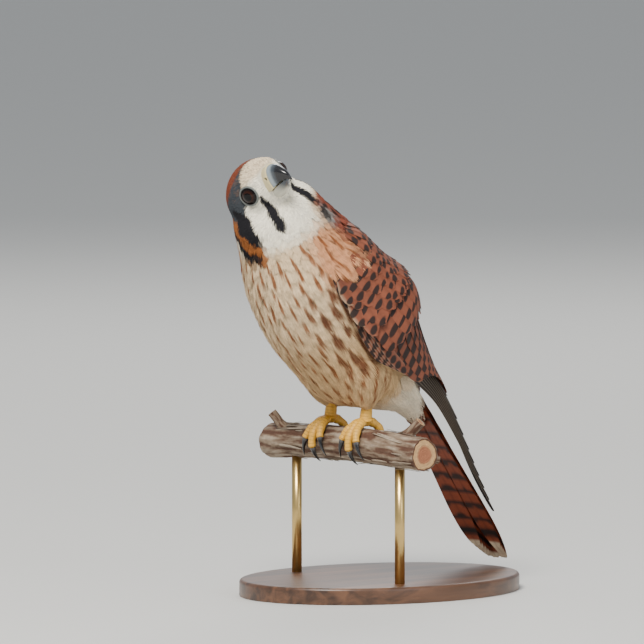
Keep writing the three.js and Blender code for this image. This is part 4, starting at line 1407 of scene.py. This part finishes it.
toes = {
    # turn from straight ahead, reach round the branch in degrees, thickness
    "inner": (-26, 78, 0.95),
    "middle": (2, 104, 1),
    "outer": (30, 82, 0.92),
    "hind": (180, 72, 1),
}
foot = {
    "spread": 13,
    "around": 28,
    "toe": 2.3,
    "gap": 0.3,
    "ankle": (3, 26),
    "sole": 3.2,
    "shank": (2.9, 2.3),
    "scute": 1.55,
    "ball": 3.5,
    "clawArc": 46,  # degrees past the toe's end
    "claw": (1.5, 0.16),
}
perch = {
    "radius": 8.5,
    "length": 112,
    "bend": 2.2,
    "around": 112,
    "lengthwise": 230,
    # cut side twigs: place along the branch, turn about it in degrees, lean, length, radius
    "stubs": ((34, 62, 0.7, 13, 2.6), (-41, 118, -0.5, 11, 2.2), (46, -20, 0.4, 9, 1.9)),
    "strips": 120,
}


def toeLine(side, turn, size, degrees, lift=0.0):
    ring = perch["radius"] + foot["toe"] * size + foot["gap"] + lift
    forward = -1 if turn > 90 else 1
    bent = np.radians(degrees)
    x = side * (foot["spread"] + math.sin(math.radians(turn)) * ring * bent * 0.75)
    return np.stack([x, -forward * ring * np.sin(bent), ring * np.cos(bent) - perch["radius"]], 1)


def scutes(length, turn):
    # overlapping scales on a tube's front: how far each point stands out, and how deep in a groove it is
    steps = length / foot["scute"]
    phase = steps - np.floor(steps)
    front = ease((np.cos(turn)[None] - 0.05) / 0.35)
    edge = ease(phase * 5) * ease((1 - phase) * 9)
    return front * (0.5 * edge[:, None] + 0.3 * (1 - phase)[:, None]), front * (1 - edge)[:, None]


def makeFoot(name, skinMaterial, clawMaterial):
    side, around = sides[name], foot["around"]
    turn = np.linspace(0, 2 * math.pi, around, endpoint=False)
    bm = bmesh.new()

    def add(line, radii, hint=(-1, 0, 0)):
        length = np.concatenate([[0], np.cumsum(np.linalg.norm(np.diff(line, axis=0), axis=1))])
        out, groove = scutes(length, turn)
        pads = 0.05 * np.cos(length * 3.1)[:, None] * np.cos(turn * 7)[None] * ease(-np.cos(turn))[None]
        rings = tubeRings(line, radii[:, None] * (1 + 0.07 * out + pads), around, hint)
        addRings(bm, rings, mix(plumage["leg"], plumage["legGroove"], 0.75 * groove[..., None]))

    x = side * foot["spread"]
    shank = np.linspace([x, 0, foot["sole"]], [x, *foot["ankle"]], 70)
    add(shank, mix(*foot["shank"], ease(np.linspace(0, 2, 70))))
    middle = np.array([x, 0, foot["gap"] + foot["toe"] + 0.3])
    ball = np.sin(np.linspace(0.15, math.pi - 0.15, 24))
    add(middle + np.linspace(-1, 1, 24)[:, None] * [0, 0, 2.2], ball * foot["ball"])
    for label, (away, reach, size) in toes.items():
        hint = (-1, 0, 0) if away > 90 else (1, 0, 0)
        t = np.linspace(0, 1, 110)
        knuckles = foot["toe"] * size * (1 - 0.25 * t) * (1 + 0.07 * np.cos(t * math.pi * 6))
        closing = np.sqrt(np.clip(1 - (np.clip(t - 0.94, 0, 1) / 0.062) ** 2, 0.05, 1))
        add(toeLine(side, away, size, mix(-4, reach, t)), knuckles * closing, hint)
        t = np.linspace(0, 1, 48)
        claw = toeLine(side, away, 0.75, mix(reach - 1, reach + foot["clawArc"], t), 0.25)
        radii = mix(*foot["claw"], t**0.9)[:, None] * (1 - 0.16 * ease(-np.cos(turn) * 2 - 0.6))[None]
        hook = bmesh.new()
        darker = mix(plumage["clawBase"], plumage["claw"], ease(t * 5)[:, None, None])
        addRings(hook, tubeRings(claw, radii, around, hint), darker)
        closedPiece(f"claw_{name}_{label}_horn", hook, "claw", clawMaterial, f"claw_{name}_{label}")
    closedPiece(f"foot_{name}_scales", bm, "leg_scales", skinMaterial, f"foot_{name}")


# Branch and stand


def sag(x):
    return perch["bend"] * (np.cos(x / perch["length"] * math.pi) - 1)


def lumps(angle, t):
    # the branch isn't quite round
    return 1 - 0.035 * (1 + np.cos(angle * 3 + t * 4))


def fibres(x, angle, seed=0.0):
    # height of shredding bark, from long ridges that run along the branch
    heights = [
        noise.fractal(Vector((px * 0.07 + seed, math.cos(a) * 3.2, math.sin(a) * 3.2)), 0.9, 2.1, 4)
        for px, a in zip(x.ravel(), angle.ravel())
    ]
    return np.clip(np.array(heights).reshape(x.shape), -1, 1)


def barkTone(rough):
    return mix(plumage["barkInner"], plumage["bark"], ease(rough * 1.6 + 0.55)[..., None])


def ringedEnd(share, angle):
    # tone of sawn wood: yearly rings round a red heart, inside a rim of bark
    uneven = 0.02 * np.cos(angle * 3 + 1)
    rings = ease(0.5 + 0.8 * np.cos((share + uneven) * 58))
    wood = mix(plumage["heart"], plumage["wood"], ease((share - 0.45) / 0.2)[..., None])
    wood = mix(wood * 0.72, wood, rings[..., None])
    return mix(wood, plumage["barkInner"], ease((share - 0.86) / 0.05)[..., None])


def addStub(bm, turns, px, turn, lean, length, thickness):
    # a side twig that was cut short, and its sawn end
    around, hint = len(turns), (0.3, 0.2, 1)
    direction = unit(np.array([lean, math.cos(math.radians(turn)), math.sin(math.radians(turn))]))
    root = np.array([px, 0, -perch["radius"] - 1]) + direction * (perch["radius"] - 3)
    along, angle = np.meshgrid(np.linspace(0, 1, 60), turns, indexing="ij")
    line = root + direction * length * along[:, :1]
    rough = fibres(along * 30, angle, px)
    radii = mix(thickness * 1.5, thickness, ease(along * 2)) * (1 + 0.09 * rough)
    addRings(bm, tubeRings(line, radii, around, hint), barkTone(rough))
    share, angle = np.meshgrid(np.linspace(1, 0.02, 16), turns, indexing="ij")
    line = line[-1] + direction * np.linspace(0, 0.12, 16)[:, None]
    addRings(bm, tubeRings(line, share * radii[-1], around, hint), ringedEnd(share * 0.95, angle))


def makePerch(material):
    inward = np.linspace(0, 1, 22)[:-1]  # rings over a sawn end, from its middle to its rim
    whole = perch["lengthwise"]
    share = np.concatenate([inward, np.ones(whole), inward[::-1]])
    t = np.concatenate([np.zeros(len(inward)), np.linspace(0, 1, whole), np.ones(len(inward))])
    turns = np.linspace(0, 2 * math.pi, perch["around"], endpoint=False)
    share, t, angle = np.broadcast_arrays(share[:, None], t[:, None], turns[None])
    onEnd = share < 1
    x = (t - 0.5) * perch["length"]
    swell = 1 + 0.05 * np.sin(t * 17 + 1) * ease(np.abs(t - 0.5) * 4 - 0.8)
    rough = fibres(x, angle)
    radius = (perch["radius"] * swell * lumps(angle, t) + 0.42 * rough - 0.12) * share
    worn = 0.12 * np.cos(share * 40) - 0.14 - 0.35 * ease((share - 0.9) / 0.1)  # of the ends, out along X
    z = sag(x) - perch["radius"] + np.sin(angle) * radius
    rings = np.stack([x + np.sign(t - 0.5) * worn * onEnd, np.cos(angle) * radius, z], -1)
    bark = mix(barkTone(rough), plumage["barkPale"], (0.7 * ease(rough * 2.4 - 0.5))[..., None])
    bm = bmesh.new()
    addRings(bm, rings, np.where(onEnd[..., None], ringedEnd(share, angle), bark))
    for stub in perch["stubs"]:
        addStub(bm, turns[::2], *stub)
    closedPiece("perch_bark", bm, "bark", material, "perch")
    strips, tones = barkStrips()
    piece = addObject("perch_fibres", strips)
    paint(piece, tones)
    finishPiece(piece, "bark", material)


def barkStrips():
    # loose fibres of bark that peel from the branch, clear of her feet
    count, grid = perch["strips"], (2, 12)
    starts, turns = draws.uniform(-52, 44, count), draws.uniform(0, 2 * math.pi, count)
    lengths, widths = draws.uniform(7, 24, count), draws.uniform(0.5, 1.7, count)
    fromFoot = np.abs(np.abs(starts + lengths / 2) - foot["spread"])
    clear = ~((fromFoot < 11 + lengths / 2) & (np.sin(turns) > -0.6))
    starts, turns, lengths, widths = (v[clear][:, None] for v in (starts, turns, lengths, widths))
    lengths = np.minimum(lengths, 55 - starts)
    n = len(starts)
    q, t = (np.linspace(low, 1, steps + 1) for low, steps in zip((-1, 0), grid))
    lift = draws.uniform(0.15, 1.1, n)[:, None]
    raised = lift * np.where(draws.random(n)[:, None] < 0.5, t, 1 - t) ** 2
    x = starts + lengths * t
    middle = turns + 0.12 * np.sin(x / 9 + turns)
    half = widths * (0.35 + 0.65 * np.sin(math.pi * np.clip(t, 0.05, 0.95))) / 2
    height = (perch["radius"] * lumps(middle, x / perch["length"] + 0.5) + raised)[..., None]
    angle = middle[..., None] + half[..., None] * q / height
    x, z = x[..., None] + 0 * q, (sag(x) - perch["radius"])[..., None]
    upper = height + 0.12 * (1 - q**2)
    grids = [np.stack([x, np.cos(angle) * r, np.sin(angle) * r + z], -1) for r in (upper, upper - 0.22)]
    points = lensPoints(*grids)
    tones = mix(plumage["bark"], plumage["barkPale"], draws.random((n, 1, 1)))
    tones = tones * draws.uniform(0.7, 1.1, (n, 1, 1))
    return joined(points, lensFaces(*grid)[0]), np.repeat(tones, points.shape[1], 1).reshape(-1, 3)


stand = {
    "thickness": 8,
    "halfLength": 74,
    "halfWidth": 56,
    "bevel": 1.6,
    "underBevel": 0.4,
    "rod": 2.4,
    "rodSpread": 38,
    "socket": 3,
}


def standPiece(name, bm, slot, material, replaced):
    # the stand is drawn in mm from the model's own origin
    bmesh.ops.scale(bm, verts=bm.verts, vec=(0.001, 0.001, 0.001))
    closedPiece(name, bm, slot, material, replaced)


def makeStand(woodLook, brassLook):
    bm = bmesh.new()
    bmesh.ops.create_circle(bm, cap_ends=True, segments=160, radius=1)
    raised = bmesh.ops.extrude_face_region(bm, geom=bm.faces[:])["geom"]
    top = [v for v in raised if isinstance(v, bmesh.types.BMVert)]
    bmesh.ops.translate(bm, verts=top, vec=(0, 0, stand["thickness"]))
    bmesh.ops.scale(bm, verts=bm.verts, vec=(stand["halfWidth"], stand["halfLength"], 1))
    high = [e for e in bm.edges if min(v.co.z for v in e.verts) > stand["thickness"] - 0.01]
    rounding = {"affect": "EDGES", "profile": 0.5, "material": -1}
    bmesh.ops.bevel(bm, geom=high, offset=stand["bevel"], segments=6, **rounding)
    low = [e for e in bm.edges if max(v.co.z for v in e.verts) < 0.01]
    bmesh.ops.bevel(bm, geom=low, offset=stand["underBevel"], segments=2, **rounding)
    standPiece("stand_base_wood", bm, "stand_wood", woodLook, "stand_base")
    low = stand["thickness"] - stand["socket"]
    high = birdAt[2] - 2 * perch["radius"] + stand["socket"]
    rod = {"segments": 48, "radius1": stand["rod"], "radius2": stand["rod"], "depth": high - low}
    for name, side in sides.items():
        bm = bmesh.new()
        bmesh.ops.create_cone(bm, cap_ends=True, **rod)
        middle = (side * stand["rodSpread"], birdAt[1], (high + low) / 2)
        bmesh.ops.translate(bm, verts=bm.verts, vec=middle)
        standPiece(f"stand_rod_{name}_brass", bm, "stand_rod", brassLook, f"stand_rod_{name}")


# Materials

softShine = {"Specular IOR Level": 0.25}
looks = {
    # roughness, the grain's scale and amount, the depth of its bumps in metres, other values, spots' tone
    "bodyFeathers": (0.85, 900, 0.5, 0, softShine, None),
    "mantleFeathers": (0.75, 900, 0.5, 0, softShine, "mantleBar"),
    "wingFeathers": (0.6, 700, 0.35, 0, softShine, "wingSpot"),
    "tailFeathers": (0.55, 700, 0.3, 0, softShine, None),
    "lids": (0.45, 2500, 0.3, 0.00012, {}, None),
    "horn": (0.22, 1200, 0.25, 0, {"Coat Weight": 0.4}, None),
    "cere": (0.5, 1800, 0.3, 0.0001, {}, None),
    "legScales": (0.5, 1600, 0.35, 0.00015, {}, None),
    "bark": (0.9, 500, 0.6, 0.0004, {}, None),
}


def feed(tree, sockets, values):
    # gives inputs their values: numbers, colours, or the outputs of other nodes
    for name, value in values.items():
        if isinstance(value, bpy.types.NodeSocket):
            tree.links.new(value, sockets[name])
        else:
            sockets[name].default_value = value


def addNode(tree, kind, values=None, **settings):
    node = tree.nodes.new(kind)
    for name, value in settings.items():
        setattr(node, name, value)
    feed(tree, node.inputs, values or {})
    return node


def calculate(tree, operation, *values):
    return addNode(tree, "ShaderNodeMath", dict(enumerate(values)), operation=operation).outputs[0]


def colourRamp(tree, value, stops):
    node = addNode(tree, "ShaderNodeValToRGB", {"Fac": value})
    elements = node.color_ramp.elements
    for k, (at, colour) in enumerate(stops):
        stop = elements[k] if k < 2 else elements.new(at)
        stop.position, stop.color = at, (*plumage[colour], 1)
    return node.outputs["Color"]


def newMaterial(name, roughness, values=None):
    material = bpy.data.materials.new(name)
    material.use_nodes = True
    tree = material.node_tree
    surface = tree.nodes["Principled BSDF"].inputs
    feed(tree, surface, {"Roughness": roughness} | (values or {}))
    return material, tree, surface


def makeGroup(name, given, results):
    group = bpy.data.node_groups.new(name, "ShaderNodeTree")
    for direction, sockets in (("INPUT", given), ("OUTPUT", results)):
        for label, kind in sockets.items():
            group.interface.new_socket(name=label, in_out=direction, socket_type="NodeSocket" + kind)
    return group, addNode(group, "NodeGroupInput").outputs, addNode(group, "NodeGroupOutput").inputs


def makeGrainGroup():
    # unevenness of a colour, as barbs and wear give it
    group, given, results = makeGroup(
        "unevenness",
        {"Tone": "Color", "Place": "Vector", "Scale": "Float", "Amount": "Float"},
        {"Tone": "Color", "Height": "Float"},
    )
    where = {"Vector": given["Place"], "Scale": given["Scale"], "Detail": 3}
    grain = addNode(group, "ShaderNodeTexNoise", where).outputs["Fac"]
    share = calculate(group, "MULTIPLY_ADD", calculate(group, "SUBTRACT", grain, 0.5), given["Amount"], 1)
    toned = addNode(group, "ShaderNodeVectorMath", {0: given["Tone"], "Scale": share}, operation="SCALE")
    feed(group, results, {"Tone": toned.outputs["Vector"], "Height": grain})
    return group


def makeSpotGroup():
    # dark spots at even steps along a feather: Place is across, along in steps, and a step over the height
    group, given, results = makeGroup(
        "spots", {"Tone": "Color", "Dark": "Color", "Place": "Vector"}, {"Tone": "Color"}
    )
    place = addNode(group, "ShaderNodeSeparateXYZ", {0: given["Place"]}).outputs
    past = calculate(group, "SUBTRACT", place["Y"], calculate(group, "ROUND", place["Y"]))
    along = calculate(group, "MULTIPLY", past, place["Z"])
    across = calculate(group, "MULTIPLY", place["X"], place["X"])
    away = calculate(group, "MULTIPLY_ADD", along, along, calculate(group, "MULTIPLY", across, 1.6))
    edge = {"Value": away, "From Min": 1.6, "From Max": 0.6, "To Min": 0, "To Max": 0.95}
    spot = addNode(group, "ShaderNodeMapRange", edge, interpolation_type="SMOOTHSTEP").outputs["Result"]
    tones = {"Factor": spot, "A": given["Tone"], "B": given["Dark"]}
    mixed = addNode(group, "ShaderNodeMix", tones, data_type="RGBA")
    feed(group, results, {"Tone": mixed.outputs["Result"]})
    return group


def attribute(tree, name, output):
    return addNode(tree, "ShaderNodeAttribute", attribute_name=name).outputs[output]


def paintedMaterial(name):
    # the painted tone, with dark spots where the look has them, made uneven by a fine grain
    roughness, scale, amount, bumpDepth, values, dark = looks[name]
    material, tree, surface = newMaterial(name, roughness, values)
    colour = attribute(tree, "tone", "Color")
    if dark:
        group = bpy.data.node_groups.get("spots") or makeSpotGroup()
        given = {"Tone": colour, "Dark": (*plumage[dark], 1), "Place": attribute(tree, "spot", "Vector")}
        colour = addNode(tree, "ShaderNodeGroup", given, node_tree=group).outputs["Tone"]
    group = bpy.data.node_groups.get("unevenness") or makeGrainGroup()
    place = addNode(tree, "ShaderNodeTexCoord").outputs["Object"]
    given = {"Tone": colour, "Place": place, "Scale": scale, "Amount": amount}
    grain = addNode(tree, "ShaderNodeGroup", given, node_tree=group).outputs
    feed(tree, surface, {"Base Color": grain["Tone"]})
    if bumpDepth:
        bumps = addNode(tree, "ShaderNodeBump", {"Distance": bumpDepth, "Height": grain["Height"]})
        feed(tree, surface, {"Normal": bumps.outputs["Normal"]})
    return material


def eyeMaterial():
    material, tree, surface = newMaterial("eye", 0.03, softShine)
    stops = ((0.31, "pupil"), (0.33, "iris"), (0.52, "irisRim"), (0.6, "pupil"))
    feed(tree, surface, {"Base Color": colourRamp(tree, attribute(tree, "gaze", "Fac"), stops)})
    return material


def woodMaterial():
    material, tree, surface = newMaterial("darkWood", 0.38, {"Coat Weight": 0.25, "Coat Roughness": 0.3})
    place = addNode(tree, "ShaderNodeTexCoord").outputs["Object"]
    stretched = addNode(tree, "ShaderNodeMapping", {"Vector": place, "Scale": (220, 9, 220)})
    settings = {"Vector": stretched.outputs["Vector"], "Scale": 1, "Detail": 6, "Distortion": 0.6}
    grain = addNode(tree, "ShaderNodeTexNoise", settings).outputs["Fac"]
    stops = ((0.35, "standGrain"), (0.68, "standWood"))
    feed(tree, surface, {"Base Color": colourRamp(tree, grain, stops)})
    return material


# Everything together


def main():
    makeCamera()
    makeRoom()
    made = {name: paintedMaterial(name) for name in looks}
    eyeLook = eyeMaterial()
    brass, _, _ = newMaterial("satinBrass", 0.3, {"Metallic": 1.0, "Base Color": (*plumage["brass"], 1)})
    hide = makeSkin()
    surface = Surface(hide)
    # painted shade: the skin takes her markings darkened, since it shows only deep in the gaps between
    # feathers
    paint(hide, markings(surface.points)[0] * 0.72)
    covered = ("head", "neck", "torso", "thigh_left", "thigh_right")
    finishPiece(hide, "body_feathers", made["bodyFeathers"], *covered)
    print("skin done,", len(hide.data.polygons), "triangles")
    coatHead(surface, made["bodyFeathers"])
    coatPlumes(surface, made["bodyFeathers"])
    coatScales(surface, made["mantleFeathers"])
    for name in sides:
        makeWing(name, made["wingFeathers"])
    makeTail(made["tailFeathers"])
    for name in sides:
        makeEye(name, eyeLook, made["lids"])
    makeBeak(made["horn"], made["cere"])
    for name in sides:
        makeFoot(name, made["legScales"], made["horn"])
    makePerch(made["bark"])
    makeStand(woodMaterial(), brass)
    print("bare parts, branch and stand done")


main()
